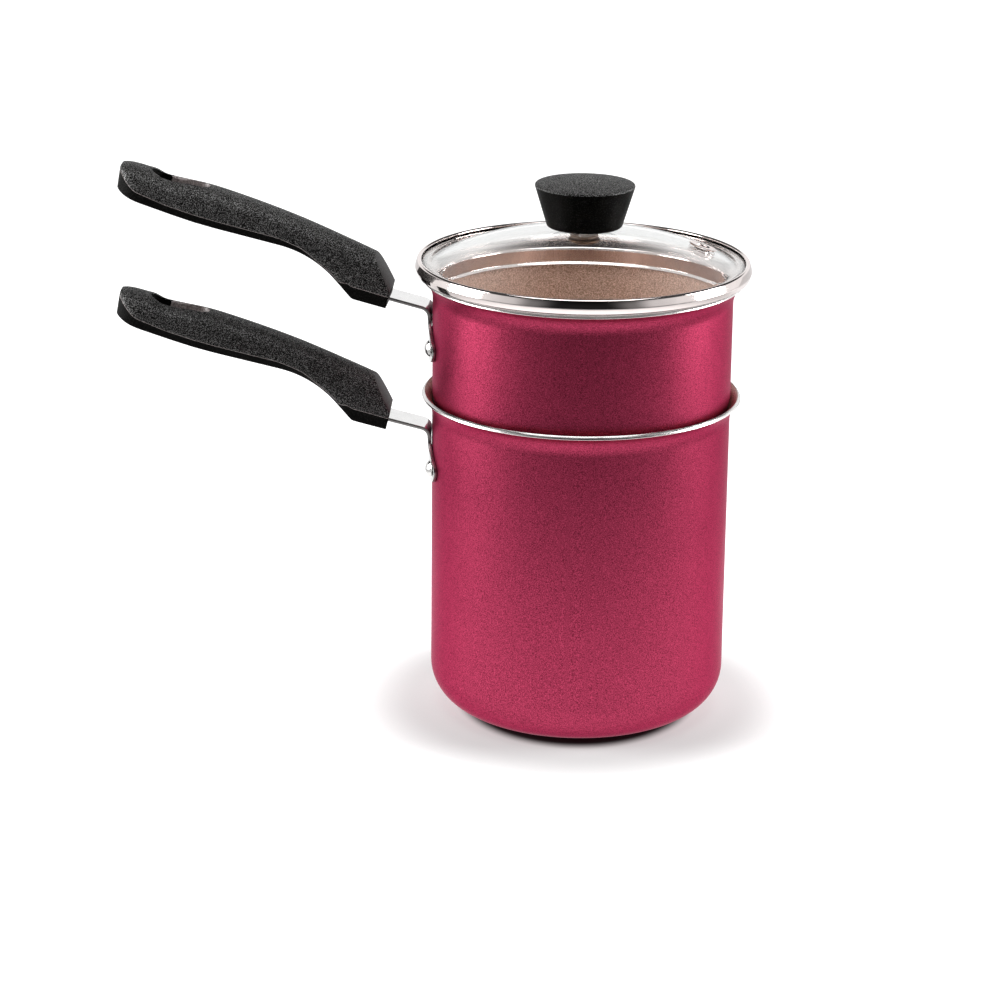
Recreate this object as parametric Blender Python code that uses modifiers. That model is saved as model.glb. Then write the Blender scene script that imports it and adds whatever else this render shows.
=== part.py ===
"""Couscous steamer: a cooking pot, a steamer pot that stands in its flared mouth, and a glass lid.

Lengths are metres and +Z is up. The origin is the middle of the pot's base, on the ground, and both
handles point along -X. Heights of the steamer count from the pot's rim, heights of the lid from the
steamer's rim, and heights of a handle and its bracket from the rivets.
"""
import bpy
import bmesh
from math import acos, asin, atan2, cos, pi, radians, sin, sqrt, tan
from mathutils import Matrix, Vector

MM = 0.001

# Clearances
GAP = 0.3 * MM                  # between pieces that rest on each other
NECK_CLEARANCE = 0.6 * MM       # steamer's neck in the pot's mouth
SKIRT_CLEARANCE = 0.5 * MM      # lid's skirt in the steamer's mouth
DISC_CLEARANCE = 1.0 * MM       # perforated disc in the neck

# Vessels, deep drawn from one sheet thickness
BODY_RADIUS = 70.0 * MM         # outside
WALL = 2.0 * MM
POT_HEIGHT = 154.2 * MM
STEAMER_RISE = 56.2 * MM        # steamer's rim above the pot's rim
STEAMER_TURN = radians(-3)      # steamer's handle against the pot's, as it happens to stand
BASE_CORNER = 20.0 * MM
FLARE_RADIUS = 12.0 * MM        # hollow outside of the trumpet rim
FLARE_ANGLE = radians(54)
SHOULDER_RADIUS = 24.0 * MM     # round step that rests in the pot's flare
SHOULDER_FILLET = 6.0 * MM
NECK_DEPTH = 22.0 * MM          # below the pot's rim
NECK_CORNER = 3.0 * MM
LEDGE_WIDTH = 5.0 * MM          # turned in under the disc

# Perforated disc
DISC_THICKNESS = 1.5 * MM
HOLE_RADIUS = 1.7 * MM
HOLE_PITCH = 13.5 * MM          # from ring to ring
HOLE_RINGS = 4

# Lid
LID_OVERHANG = 8.3 * MM         # steel band, beyond the walls of the vessels
LID_RADIUS = BODY_RADIUS + LID_OVERHANG
BAND_HEIGHT = 7.0 * MM
BAND_SHEET = 0.8 * MM
SKIRT_DEPTH = 7.5 * MM
LIP_ANGLE = radians(30)         # lip's lean down onto the glass
LIP_LENGTH = 0.3 * MM
BAND_BEAD = 0.8 * MM            # roll at the top of the band, to the middle of the sheet
BAND_UPRIGHT = 2.4 * MM         # foot of the band's wall, before it leans in over the glass
BAND_LEAN = radians(17)
GLASS_THICKNESS = 4.0 * MM
DOME_RADIUS = 178.0 * MM        # at the middle of the glass
GLASS_EDGE_GAP = 1.0 * MM       # between the rounded edge and the foot of the wall
GLASS_RIM = 2.7 * MM            # flat edge held by the band
GLASS_RIM_FILLET = 6.0 * MM

# Knob and its fixing
KNOB_TOP_RADIUS = 23.3 * MM
KNOB_FOOT_RADIUS = 17.2 * MM
KNOB_HEIGHT = 20.0 * MM         # to the edge of the top
KNOB_CROWN = 1.3 * MM           # rise of the top's middle
KNOB_EDGE = 0.9 * MM
KNOB_FOOT_EDGE = 1.6 * MM
GASKET_THICKNESS = 1.8 * MM
GASKET_RADIUS = 7.0 * MM
UNDER_GASKET_THICKNESS = 1.0 * MM
UNDER_GASKET_RADIUS = 6.4 * MM
INSERT_RADIUS = 4.0 * MM
INSERT_LENGTH = 11.0 * MM
KNOB_SCREW_RADIUS = 2.5 * MM
KNOB_SCREW_GRIP = 9.0 * MM      # screw inside the insert
KNOB_SCREW_HEAD_RADIUS = 7.3 * MM
KNOB_SCREW_HEAD_HEIGHT = 2.6 * MM

# Steam vent
VENT_INSET = 23.3 * MM          # from the band's outside to the vent's middle
VENT_DISTANCE = LID_RADIUS - VENT_INSET
VENT_ANGLE = radians(8)         # from +X, away from the handles
VENT_BORE = 2.9 * MM
VENT_SHEET = 0.6 * MM
VENT_FLANGE = 6.5 * MM
VENT_ROLL = 5.4 * MM            # radius of the turned foot
VENT_WASHER_THICKNESS = 0.8 * MM

# Brackets and rivets, alike on both vessels
POT_RIVET_DROP = 35.0 * MM      # rivets below the pot's rim
STEAMER_RIVET_DROP = 33.9 * MM
BRACKET_SHEET = 1.5 * MM
STRAP_WIDTH = 17.0 * MM
STRAP_RISE = radians(14)
STRAP_ROOT = 16.3 * MM          # where strap and wall plate would meet, above the rivets
STRAP_REACH = 36.0 * MM         # end of the tang, from the wall
BRACKET_BEND = 4.6 * MM
PLATE_LOBE = 6.4 * MM           # round ends of the plate, about the rivets
PLATE_NECK = 11.0 * MM          # height over which plate narrows to strap
RIVET_SPREAD = 16.5 * MM        # each rivet from the middle
RIVET_SHANK = 2.0 * MM
RIVET_HEAD_RADIUS = 4.2 * MM
RIVET_HEAD_HEIGHT = 2.3 * MM
RIVET_INNER_RADIUS = 4.0 * MM
RIVET_INNER_HEIGHT = 1.2 * MM

# Handles, alike on both vessels. Distances count outwards from the wall.
NOSE_DISTANCE = 20.2 * MM       # front face, at the strap
HANDLE_END = 147.1 * MM
CROWN_POINT = (26.8 * MM, 41.0 * MM)
CROWN_SLOPE = radians(25.2)     # there
CROWN_RADIUS = 527.0 * MM
NOSE_TOP = (19.0 * MM, 24.5 * MM)
# Underside: distance, height and corner radius
UNDERSIDE = (
    (8.0 * MM, 13.2 * MM, 0.0),
    (37.3 * MM, 20.7 * MM, 3.0 * MM),
    (55.2 * MM, 41.3 * MM, 50.0 * MM),
    (110.0 * MM, 54.8 * MM, 250.0 * MM),
    (148.0 * MM, 67.5 * MM, 0.0),
)
# Parting ridge above the underside
RIDGE_LIFT = (
    (8.0 * MM, 6.2 * MM),
    (37.5 * MM, 6.6 * MM),
    (43.5 * MM, 2.2 * MM),
    (51.0 * MM, 1.7 * MM),
    (62.0 * MM, 3.2 * MM),
    (75.0 * MM, 4.0 * MM),
    (122.0 * MM, 4.3 * MM),
    (136.0 * MM, 5.2 * MM),
    (148.0 * MM, 9.5 * MM),
)
# Dip of the crown round the hanging slot
CROWN_DIP = (
    (100.0 * MM, 0.0 * MM),
    (125.0 * MM, 1.5 * MM),
    (131.0 * MM, 0.0 * MM),
)
# Half width along the handle
HALF_WIDTH = (
    (8.0 * MM, 11.8 * MM),
    (30.0 * MM, 12.0 * MM),
    (60.0 * MM, 11.6 * MM),
    (115.0 * MM, 13.3 * MM),
    (148.0 * MM, 13.3 * MM),
)
TIP_LENGTH = 13.0 * MM          # over which the end rounds off
TIP_DROP = 0.6 * MM             # fall of the crown over the round end
TIP_LEAN = radians(11)          # back lean of the end
SECTION_POWER = 0.72            # below 1 is fuller than an ellipse
DRAFT = 1.5 * MM                # taper of the wall under the ridge
UNDER_EDGE = 1.0 * MM
SLOT_START = 103.7 * MM
SLOT_END = 129.3 * MM
SLOT_HALF_WIDTH = 4.5 * MM
SCOOP_DISTANCE = 117.0 * MM     # middle of the scoop round the slot
SCOOP_LENGTH = 15.5 * MM
SCOOP_HALF_WIDTH = 7.6 * MM
SCOOP_DEPTH = 3.6 * MM
SCOOP_TILT = radians(25)
HANDLE_SCREW_INSET = 6.0 * MM    # from the end of the tang
HANDLE_SCREW_DISTANCE = STRAP_REACH - HANDLE_SCREW_INSET
HANDLE_SCREW_RADIUS = 1.9 * MM
HANDLE_SCREW_LENGTH = 9.5 * MM
HANDLE_SCREW_HEAD_RADIUS = 3.5 * MM
HANDLE_SCREW_HEAD_HEIGHT = 2.0 * MM
COUNTERBORE_DEPTH = 2.4 * MM

# Facets
VESSEL_STEPS = 36
KNOB_STEPS = 24
SMALL_STEPS = 12
SMOOTH_ANGLE = radians(32)

# Sizes that follow from the others
MOUTH_RADIUS = BODY_RADIUS - WALL
FLARE_HEIGHT = WALL / 2 + (FLARE_RADIUS + WALL / 2) * sin(FLARE_ANGLE)
NECK_MIDDLE = MOUTH_RADIUS - NECK_CLEARANCE - WALL / 2
NECK_INSIDE = NECK_MIDDLE - WALL / 2
STEAMER_RIM = POT_HEIGHT + STEAMER_RISE
LEG_DISTANCE = GAP + BRACKET_SHEET / 2

for old in list(bpy.data.objects):
    bpy.data.objects.remove(old, do_unlink=True)


def new_collection(name):
    collection = bpy.data.collections.new(name)
    bpy.context.scene.collection.children.link(collection)
    return collection


PARTS = new_collection("couscous_steamer")
CUTTERS = new_collection("cutters")


def material(name, colour, roughness, metallic=0.0, transmission=0.0):
    """A Principled material. The colour is linear red, green and blue."""
    made = bpy.data.materials.new(name)
    made.use_nodes = True
    made.diffuse_color = (*colour, 1.0)
    shader = made.node_tree.nodes["Principled BSDF"]
    shader.inputs["Base Color"].default_value = (*colour, 1.0)
    shader.inputs["Roughness"].default_value = roughness
    shader.inputs["Metallic"].default_value = metallic
    shader.inputs["Transmission Weight"].default_value = transmission
    return made


COATED_METAL = material("coated_metal", (0.38, 0.03, 0.09), 0.45, 0.6)
STEEL = material("polished_steel", (0.75, 0.74, 0.73), 0.15, 1.0)
ALUMINIUM = material("aluminium", (0.72, 0.72, 0.72), 0.35, 1.0)
BLACK_PLASTIC = material("black_moulding", (0.02, 0.02, 0.02), 0.5)
GLASS = material("clear_glass", (0.95, 0.97, 0.97), 0.03, 0.0, 1.0)
BRASS = material("brass", (0.60, 0.42, 0.16), 0.3, 1.0)
SILICONE = material("silicone", (0.55, 0.55, 0.54), 0.6)


class Path:
    """A line in the plane of distance and height, drawn like a pen that turns as it goes."""

    def __init__(self, across, height, heading=0.0):
        self.points = [(across, height)]
        self.heading = heading

    def line(self, length):
        across, height = self.points[-1]
        self.points.append((across + length * cos(self.heading), height + length * sin(self.heading)))
        return self

    def out_to(self, across):
        return self.line((across - self.points[-1][0]) / cos(self.heading))

    def up_to(self, height):
        return self.line((height - self.points[-1][1]) / sin(self.heading))

    def turn(self, angle):
        """Turn on the spot, to the left when the angle is positive."""
        self.heading += angle
        return self

    def bend(self, radius, angle, step):
        """Follow an arc, to the left when the angle is positive."""
        count = max(1, round(abs(angle) / step))
        chord = 2 * radius * sin(abs(angle) / count / 2)
        for _ in range(count):
            self.heading += angle / count / 2
            self.line(chord)
            self.heading += angle / count / 2
        return self


def offset(points, distance):
    """Points moved to the left of a line that runs through them, by the distance."""
    moved = []
    for index, (across, height) in enumerate(points):
        before = points[max(index - 1, 0)]
        after = points[min(index + 1, len(points) - 1)]
        arrive = Vector((across - before[0], height - before[1]))
        leave = Vector((after[0] - across, after[1] - height))
        if arrive.length == 0:
            arrive = leave
        if leave.length == 0:
            leave = arrive
        middle = (arrive.normalized() + leave.normalized()).normalized()
        stretch = distance / max(middle.dot(leave.normalized()), 0.5)
        moved.append((across - middle.y * stretch, height + middle.x * stretch))
    return moved


def sheet(path, thickness, round_start=False, round_end=True):
    """Outline of a sheet about its middle line, clockwise, with flat or half-round ends."""
    points = path.points

    def half_round(end, before):
        heading = atan2(end[1] - before[1], end[0] - before[0])
        reach = thickness / 2
        return [(end[0] + reach * cos(angle), end[1] + reach * sin(angle))
                for angle in (heading + pi / 4, heading - pi / 4)]

    outline = offset(points, thickness / 2)
    if round_end:
        outline += half_round(points[-1], points[-2])
    outline += reversed(offset(points, -thickness / 2))
    if round_start:
        outline += half_round(points[0], points[1])
    return outline


def new_piece(name, mesh, look, parent=None):
    """An object in the parts collection, held by its parent empty."""
    piece = bpy.data.objects.new(name, mesh)
    mesh.materials.append(look)
    PARTS.objects.link(piece)
    piece.parent = parent
    return piece


def new_frame(name, location, parent=None):
    frame = bpy.data.objects.new(name, None)
    frame.empty_display_size = 0.02
    frame.location = location
    frame.parent = parent
    PARTS.objects.link(frame)
    return frame


def profile_mesh(name, outline, closed):
    mesh = bpy.data.meshes.new(name)
    edges = [(i, i + 1) for i in range(len(outline) - 1)]
    if closed:
        edges.append((len(outline) - 1, 0))
    mesh.from_pydata([(across, 0.0, height) for across, height in outline], edges, [])
    return mesh


def turned(name, outline, look, steps, parent=None, closed=True):
    """A solid turned about Z. An open outline starts and ends on the axis."""
    piece = new_piece(name, profile_mesh(name, outline, closed), look, parent)
    screw = piece.modifiers.new("turn", "SCREW")
    screw.axis = "Z"
    screw.angle = 2 * pi
    screw.steps = steps
    screw.render_steps = steps
    screw.use_merge_vertices = True
    screw.merge_threshold = 0.00001
    return piece


def plain_ring(inner, outer, low, high):
    """Outline of a flat washer, clockwise."""
    return [(inner, low), (inner, high), (outer, high), (outer, low)]


def as_cutter(cutter, parent=None):
    for collection in list(cutter.users_collection):
        collection.objects.unlink(cutter)
    CUTTERS.objects.link(cutter)
    cutter.parent = parent
    cutter.hide_render = True
    cutter.display_type = "WIRE"
    return cutter


def cylinder_cutter(name, radius, matrix, low, high, steps=SMALL_STEPS, parent=None):
    """A round cutter along the matrix's own Z, from low to high."""
    mesh = bpy.data.meshes.new(name)
    shape = bmesh.new()
    bmesh.ops.create_cone(
        shape, cap_ends=True, segments=steps, radius1=radius, radius2=radius, depth=high - low)
    bmesh.ops.translate(shape, verts=shape.verts, vec=(0, 0, (high + low) / 2))
    bmesh.ops.transform(shape, matrix=matrix, verts=shape.verts)
    shape.to_mesh(mesh)
    shape.free()
    return as_cutter(bpy.data.objects.new(name, mesh), parent)


def cut(piece, cutter):
    boolean = piece.modifiers.new("cut_" + cutter.name, "BOOLEAN")
    boolean.operation = "DIFFERENCE"
    boolean.solver = "EXACT"
    boolean.object = cutter


def rounded(corners):
    """A line through corners of (distance, height, radius), with each corner rounded by an arc."""
    points = [corners[0][:2]]
    for before, corner, after in zip(corners, corners[1:], corners[2:]):
        here = Vector(corner[:2])
        arrive = (here - Vector(before[:2])).normalized()
        leave = (Vector(after[:2]) - here).normalized()
        turn = atan2(arrive.x * leave.y - arrive.y * leave.x, arrive.dot(leave))
        start = here - arrive * corner[2] * tan(abs(turn) / 2)
        arc = Path(start.x, start.y, atan2(arrive.y, arrive.x))
        arc.bend(corner[2], turn, radians(8))
        points += arc.points
    points.append(corners[-1][:2])
    return points


def value_at(points, across):
    """Height of a line at a distance, straight between its points."""
    for (x0, y0), (x1, y1) in zip(points, points[1:]):
        if across <= x1:
            return y0 + (y1 - y0) * (across - x0) / (x1 - x0)
    return points[-1][1]


def smooth_value_at(points, across):
    """The same with a soft passage from point to point."""
    for (x0, y0), (x1, y1) in zip(points, points[1:]):
        if across <= x1:
            share = (across - x0) / (x1 - x0)
            return y0 + (y1 - y0) * share * share * (3 - 2 * share)
    return points[-1][1]


def make_cooking_pot(parent):
    """Deep pot with a round base corner and a trumpet rim."""
    middle = Path(0.0, WALL / 2)
    middle.out_to(BODY_RADIUS - BASE_CORNER)
    middle.bend(BASE_CORNER - WALL / 2, pi / 2, radians(18))
    middle.up_to(POT_HEIGHT - FLARE_HEIGHT)
    middle.bend(FLARE_RADIUS + WALL / 2, -FLARE_ANGLE, radians(13.5))
    return turned("cooking_pot", sheet(middle, WALL), COATED_METAL, VESSEL_STEPS, parent, closed=False)


def make_steamer_pot(parent):
    """Upper vessel: its round shoulder rests in the pot's flare, and its neck reaches into the pot."""
    reach = FLARE_RADIUS + SHOULDER_RADIUS
    shoulder_top = sqrt((reach + WALL + GAP) ** 2 - reach ** 2) - FLARE_HEIGHT
    bends = SHOULDER_RADIUS + SHOULDER_FILLET
    shoulder_angle = acos(1 - (WALL + NECK_CLEARANCE) / bends)
    middle = Path(NECK_INSIDE - LEDGE_WIDTH, -NECK_DEPTH + WALL / 2)
    middle.out_to(NECK_MIDDLE - NECK_CORNER + WALL / 2)
    middle.bend(NECK_CORNER - WALL / 2, pi / 2, radians(45))
    middle.up_to(shoulder_top - bends * sin(shoulder_angle))
    middle.bend(SHOULDER_FILLET + WALL / 2, -shoulder_angle, radians(12))
    middle.bend(SHOULDER_RADIUS - WALL / 2, shoulder_angle, radians(8))
    middle.up_to(STEAMER_RISE - FLARE_HEIGHT)
    middle.bend(FLARE_RADIUS + WALL / 2, -FLARE_ANGLE, radians(13.5))
    outline = sheet(middle, WALL, round_start=True)
    return turned("steamer_pot", outline, COATED_METAL, VESSEL_STEPS, parent)


def make_steam_disc(parent):
    """Loose disc with rings of round holes, on the ledge at the foot of the neck."""
    low = -NECK_DEPTH + WALL + GAP
    high = low + DISC_THICKNESS
    radius = NECK_INSIDE - DISC_CLEARANCE
    outline = [(0.0, high), (radius, high), (radius, low), (0.0, low)]
    disc = turned("steam_disc", outline, ALUMINIUM, VESSEL_STEPS, parent, closed=False)
    mesh = bpy.data.meshes.new("disc_holes")
    shape = bmesh.new()
    for ring in range(HOLE_RINGS + 1):
        count = max(1, 6 * ring)
        for number in range(count):
            turn = Matrix.Rotation(2 * pi * (number + 0.5) / count, 4, "Z")
            place = turn @ Matrix.Translation((ring * HOLE_PITCH, 0, (low + high) / 2))
            bmesh.ops.create_cone(
                shape, cap_ends=True, segments=6, radius1=HOLE_RADIUS, radius2=HOLE_RADIUS,
                depth=2 * DISC_THICKNESS, matrix=place)
    shape.to_mesh(mesh)
    shape.free()
    cut(disc, as_cutter(bpy.data.objects.new("disc_holes", mesh), parent))
    return disc


def glass_path():
    """Middle line of the domed glass, from the knob's hole to its flat edge."""
    edge = LID_RADIUS - BAND_SHEET - GLASS_EDGE_GAP - GLASS_THICKNESS / 2 * cos(pi / 4)
    edge_height = 2 * GAP + BAND_SHEET + GLASS_THICKNESS / 2
    hole = KNOB_SCREW_RADIUS + 2 * GAP
    start_angle = asin(hole / DOME_RADIUS)
    rim_angle = asin((edge - GLASS_RIM) / (DOME_RADIUS + GLASS_RIM_FILLET))
    drop = DOME_RADIUS * (cos(start_angle) - cos(rim_angle)) + GLASS_RIM_FILLET * (1 - cos(rim_angle))
    path = Path(hole, edge_height + drop, -start_angle)
    path.bend(DOME_RADIUS, start_angle - rim_angle, radians(4.5))
    path.bend(GLASS_RIM_FILLET, rim_angle, radians(12))
    path.out_to(edge)
    return path


GLASS_MIDDLE = glass_path()
CROWN_HEIGHT = GLASS_MIDDLE.points[0][1]
GLASS_TOP = CROWN_HEIGHT + GLASS_THICKNESS / 2
GLASS_UNDER = CROWN_HEIGHT - GLASS_THICKNESS / 2


def vent_matrix():
    """Place of the vent: on the glass's middle, with Z along the dome's normal."""
    lean = asin(VENT_DISTANCE / DOME_RADIUS)
    start_angle = asin(GLASS_MIDDLE.points[0][0] / DOME_RADIUS)
    height = CROWN_HEIGHT - DOME_RADIUS * (cos(start_angle) - cos(lean))
    turn = Matrix.Rotation(VENT_ANGLE, 4, "Z")
    return turn @ Matrix.Translation((VENT_DISTANCE, 0, height)) @ Matrix.Rotation(lean, 4, "Y")


def make_lid_glass(parent):
    glass = turned("lid_glass", sheet(GLASS_MIDDLE, GLASS_THICKNESS), GLASS, VESSEL_STEPS, parent)
    barrel = VENT_BORE + VENT_SHEET + GAP
    cut(glass, cylinder_cutter("vent_hole", barrel, vent_matrix(), -GLASS_THICKNESS, GLASS_THICKNESS,
                               SMALL_STEPS, parent))
    return glass


def make_lid_band(parent):
    """Steel band: skirt in the steamer's mouth, web on its rim, leaning wall and lip over the glass."""
    half = BAND_SHEET / 2
    shoulder = 2 * BAND_SHEET
    middle = Path(MOUTH_RADIUS - SKIRT_CLEARANCE - half, -SKIRT_DEPTH, pi / 2)
    middle.up_to(GAP + half - shoulder)
    middle.bend(shoulder, -pi / 2, radians(45))
    middle.out_to(LID_RADIUS - half - BAND_SHEET)
    middle.bend(BAND_SHEET, pi / 2, radians(45))
    middle.up_to(GAP + BAND_UPRIGHT)
    middle.turn(BAND_LEAN)
    middle.up_to(GAP + BAND_HEIGHT - half - BAND_BEAD * (1 - sin(BAND_LEAN)))
    middle.bend(BAND_BEAD, pi / 2 - BAND_LEAN + LIP_ANGLE, radians(35))
    middle.line(LIP_LENGTH)
    return turned("lid_band", sheet(middle, BAND_SHEET, round_end=False), STEEL, VESSEL_STEPS, parent)


def make_knob(parent):
    """Knob, its threaded insert, both gaskets and the screw that clamps them to the glass."""
    foot = GLASS_TOP + 2 * GAP + GASKET_THICKNESS
    shank_hole = KNOB_SCREW_RADIUS + GAP
    crown_radius = (KNOB_TOP_RADIUS ** 2 + KNOB_CROWN ** 2) / (2 * KNOB_CROWN)
    crown_angle = asin((KNOB_TOP_RADIUS - KNOB_EDGE) / crown_radius)
    taper = atan2(KNOB_TOP_RADIUS - KNOB_FOOT_RADIUS, KNOB_HEIGHT)
    outline = Path(0.0, foot + KNOB_HEIGHT + KNOB_CROWN)
    outline.bend(crown_radius, -crown_angle, radians(3.2))
    outline.bend(KNOB_EDGE, crown_angle - pi / 2 - taper, radians(35))
    outline.up_to(foot + KNOB_FOOT_EDGE * (1 - sin(taper)))
    outline.bend(KNOB_FOOT_EDGE, taper - pi / 2, radians(35))
    foot = outline.points[-1][1]
    outline.out_to(INSERT_RADIUS + GAP)
    outline.turn(-pi / 2)
    outline.up_to(foot + INSERT_LENGTH + 2 * GAP)
    outline.turn(pi / 2)
    outline.out_to(0.0)
    turned("lid_knob", outline.points, BLACK_PLASTIC, KNOB_STEPS, parent, closed=False)

    insert_low = foot + GAP
    ring = plain_ring(shank_hole, INSERT_RADIUS, insert_low, insert_low + INSERT_LENGTH)
    turned("knob_insert", ring, BRASS, SMALL_STEPS, parent)

    gasket_top = foot - GAP
    ring = plain_ring(shank_hole, GASKET_RADIUS, GLASS_TOP + GAP, gasket_top)
    turned("knob_gasket", ring, SILICONE, KNOB_STEPS, parent)

    under_top = GLASS_UNDER - GAP
    under_low = under_top - UNDER_GASKET_THICKNESS
    turned("glass_gasket", plain_ring(shank_hole, UNDER_GASKET_RADIUS, under_low, under_top),
           SILICONE, KNOB_STEPS, parent)

    head_top = under_low - GAP
    head_rim = head_top - KNOB_SCREW_HEAD_HEIGHT / 3
    head_crown = KNOB_SCREW_HEAD_HEIGHT - KNOB_SCREW_HEAD_HEIGHT / 3
    crown = (KNOB_SCREW_HEAD_RADIUS ** 2 + head_crown ** 2) / (2 * head_crown)
    crown_angle = asin(KNOB_SCREW_HEAD_RADIUS / crown)
    screw = Path(0.0, insert_low + KNOB_SCREW_GRIP)
    screw.out_to(KNOB_SCREW_RADIUS)
    screw.turn(-pi / 2)
    screw.up_to(head_top)
    screw.turn(pi / 2)
    screw.out_to(KNOB_SCREW_HEAD_RADIUS)
    screw.turn(-pi / 2)
    screw.up_to(head_rim)
    screw.turn(crown_angle - pi / 2)
    screw.bend(crown, -crown_angle, radians(14))
    screw.points[-1] = (0.0, screw.points[-1][1])
    turned("knob_screw", screw.points, STEEL, KNOB_STEPS, parent, closed=False)


def make_vent(parent):
    """Eyelet through the glass, turned out over a washer underneath."""
    half = VENT_SHEET / 2
    barrel = VENT_BORE + half
    washer_top = -GLASS_THICKNESS / 2 - GAP
    washer_low = washer_top - VENT_WASHER_THICKNESS
    foot = washer_low - GAP - half
    head = GLASS_THICKNESS / 2 + 2 * GAP + half
    middle = Path(VENT_ROLL, foot, pi)
    middle.out_to(barrel + VENT_SHEET)
    middle.bend(VENT_SHEET, -pi / 2, radians(90))
    middle.up_to(head - VENT_SHEET)
    middle.bend(VENT_SHEET, -pi / 2, radians(90))
    middle.out_to(VENT_FLANGE - half)
    middle.bend(VENT_SHEET, -radians(40), radians(40))
    eyelet = turned("vent_eyelet", sheet(middle, VENT_SHEET, round_end=False), STEEL, SMALL_STEPS, parent)
    eyelet.matrix_local = vent_matrix()
    ring = plain_ring(VENT_BORE + VENT_SHEET + GAP, VENT_FLANGE, washer_low, washer_top)
    washer = turned("vent_washer", ring, STEEL, SMALL_STEPS, parent)
    washer.matrix_local = vent_matrix()


def strap_height(distance):
    """Height of the strap's middle at a distance from the wall."""
    return STRAP_ROOT + (distance - LEG_DISTANCE) * tan(STRAP_RISE)


def strap_matrix(distance):
    """Place on the strap's middle at a distance from the wall, with Z square to the strap and X outwards."""
    place = Matrix.Translation((-BODY_RADIUS - distance, 0, strap_height(distance)))
    return place @ Matrix.Rotation(pi, 4, "Z") @ Matrix.Rotation(-STRAP_RISE, 4, "Y")


def plate_half_width(height):
    """Half width of the bracket at a height above the rivets."""
    wide = RIVET_SPREAD + PLATE_LOBE
    if height < 0:
        return RIVET_SPREAD + sqrt(max(PLATE_LOBE ** 2 - height ** 2, 0.0))
    if height < PLATE_NECK:
        share = height / PLATE_NECK
        return wide + (STRAP_WIDTH / 2 - wide) * share * share * (3 - 2 * share)
    return STRAP_WIDTH / 2


def make_bracket(name, parent):
    """Plate curved to the wall, narrowing to a flat strap that bends out to the handle."""
    bend_angle = pi / 2 - STRAP_RISE
    bend_start = STRAP_ROOT - BRACKET_BEND * tan(bend_angle / 2)
    side = Path(LEG_DISTANCE, bend_start, pi / 2)
    side.bend(BRACKET_BEND, -bend_angle, radians(19))
    side.out_to(STRAP_REACH)
    lobe = [-PLATE_LOBE * cos(pi / 2 * i / 4) for i in range(5)]
    neck = [PLATE_NECK * i / 4 for i in range(1, 5)]
    rows = [(LEG_DISTANCE, height) for height in lobe + neck] + side.points
    across_count = 8
    wrap_radius = BODY_RADIUS + LEG_DISTANCE
    shape = bmesh.new()
    grid = []
    for distance, height in rows:
        half = plate_half_width(height)
        wrap = 1 - min(max((height - PLATE_LOBE) / (bend_start - PLATE_LOBE), 0.0), 1.0)
        line = []
        for i in range(across_count + 1):
            across = half * (2 * i / across_count - 1)
            angle = across / wrap_radius
            hollow = wrap * wrap_radius * (1 - cos(angle))
            spread = wrap * wrap_radius * sin(angle) + (1 - wrap) * across
            line.append(shape.verts.new((hollow - BODY_RADIUS - distance, spread, height)))
        grid.append(line)
    for low, high in zip(grid, grid[1:]):
        for i in range(across_count):
            shape.faces.new((low[i], high[i], high[i + 1], low[i + 1]))
    mesh = bpy.data.meshes.new(name)
    shape.to_mesh(mesh)
    shape.free()
    bracket = new_piece(name, mesh, STEEL, parent)
    solidify = bracket.modifiers.new("sheet", "SOLIDIFY")
    solidify.thickness = BRACKET_SHEET
    solidify.offset = 0.0
    for side_name, matrix in rivet_places():
        cut(bracket, cylinder_cutter(
            name + side_name, RIVET_SHANK + GAP, matrix, -4 * BRACKET_SHEET, 4 * BRACKET_SHEET, 12, parent))
    cut(bracket, cylinder_cutter(
        name + "_screw_hole", HANDLE_SCREW_RADIUS + GAP, strap_matrix(HANDLE_SCREW_DISTANCE),
        -2 * BRACKET_SHEET, 2 * BRACKET_SHEET, 12, parent))
    return bracket


def rivet_places():
    """Each rivet's name ending and place on the wall's outside, with Z outwards."""
    angle = RIVET_SPREAD / (BODY_RADIUS + LEG_DISTANCE)
    for ending, turn in (("_left", -angle), ("_right", angle)):
        place = Matrix.Rotation(turn, 4, "Z") @ Matrix.Translation((-BODY_RADIUS, 0, 0))
        yield ending, place @ Matrix.Rotation(-pi / 2, 4, "Y")


def make_rivet(name, matrix, parent):
    """Rivet through plate and wall, domed outside and upset flat inside."""
    plate_face = GAP + BRACKET_SHEET
    head_low = plate_face + GAP
    head_radius = (RIVET_HEAD_RADIUS ** 2 + RIVET_HEAD_HEIGHT ** 2) / (2 * RIVET_HEAD_HEIGHT)
    head_angle = asin(RIVET_HEAD_RADIUS / head_radius)
    inner_top = -WALL - 2 * GAP
    rivet = Path(0.0, head_low + RIVET_HEAD_HEIGHT)
    rivet.bend(head_radius, -head_angle, radians(20))
    rivet.points[-1] = (RIVET_HEAD_RADIUS, head_low)
    outline = rivet.points + [
        (RIVET_SHANK, head_low),
        (RIVET_SHANK, inner_top),
        (RIVET_INNER_RADIUS, inner_top),
        (RIVET_INNER_RADIUS, inner_top - RIVET_INNER_HEIGHT / 2),
        (RIVET_INNER_RADIUS * 0.7, inner_top - RIVET_INNER_HEIGHT),
        (0.0, inner_top - RIVET_INNER_HEIGHT),
    ]
    turned(name, outline, STEEL, SMALL_STEPS, parent, closed=False).matrix_local = matrix


def crown_height(distance):
    """The handle's top line, one long arc."""
    start = sin(CROWN_SLOPE)
    here = start - (distance - CROWN_POINT[0]) / CROWN_RADIUS
    return CROWN_POINT[1] + CROWN_RADIUS * (sqrt(1 - here * here) - sqrt(1 - start * start))


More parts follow.
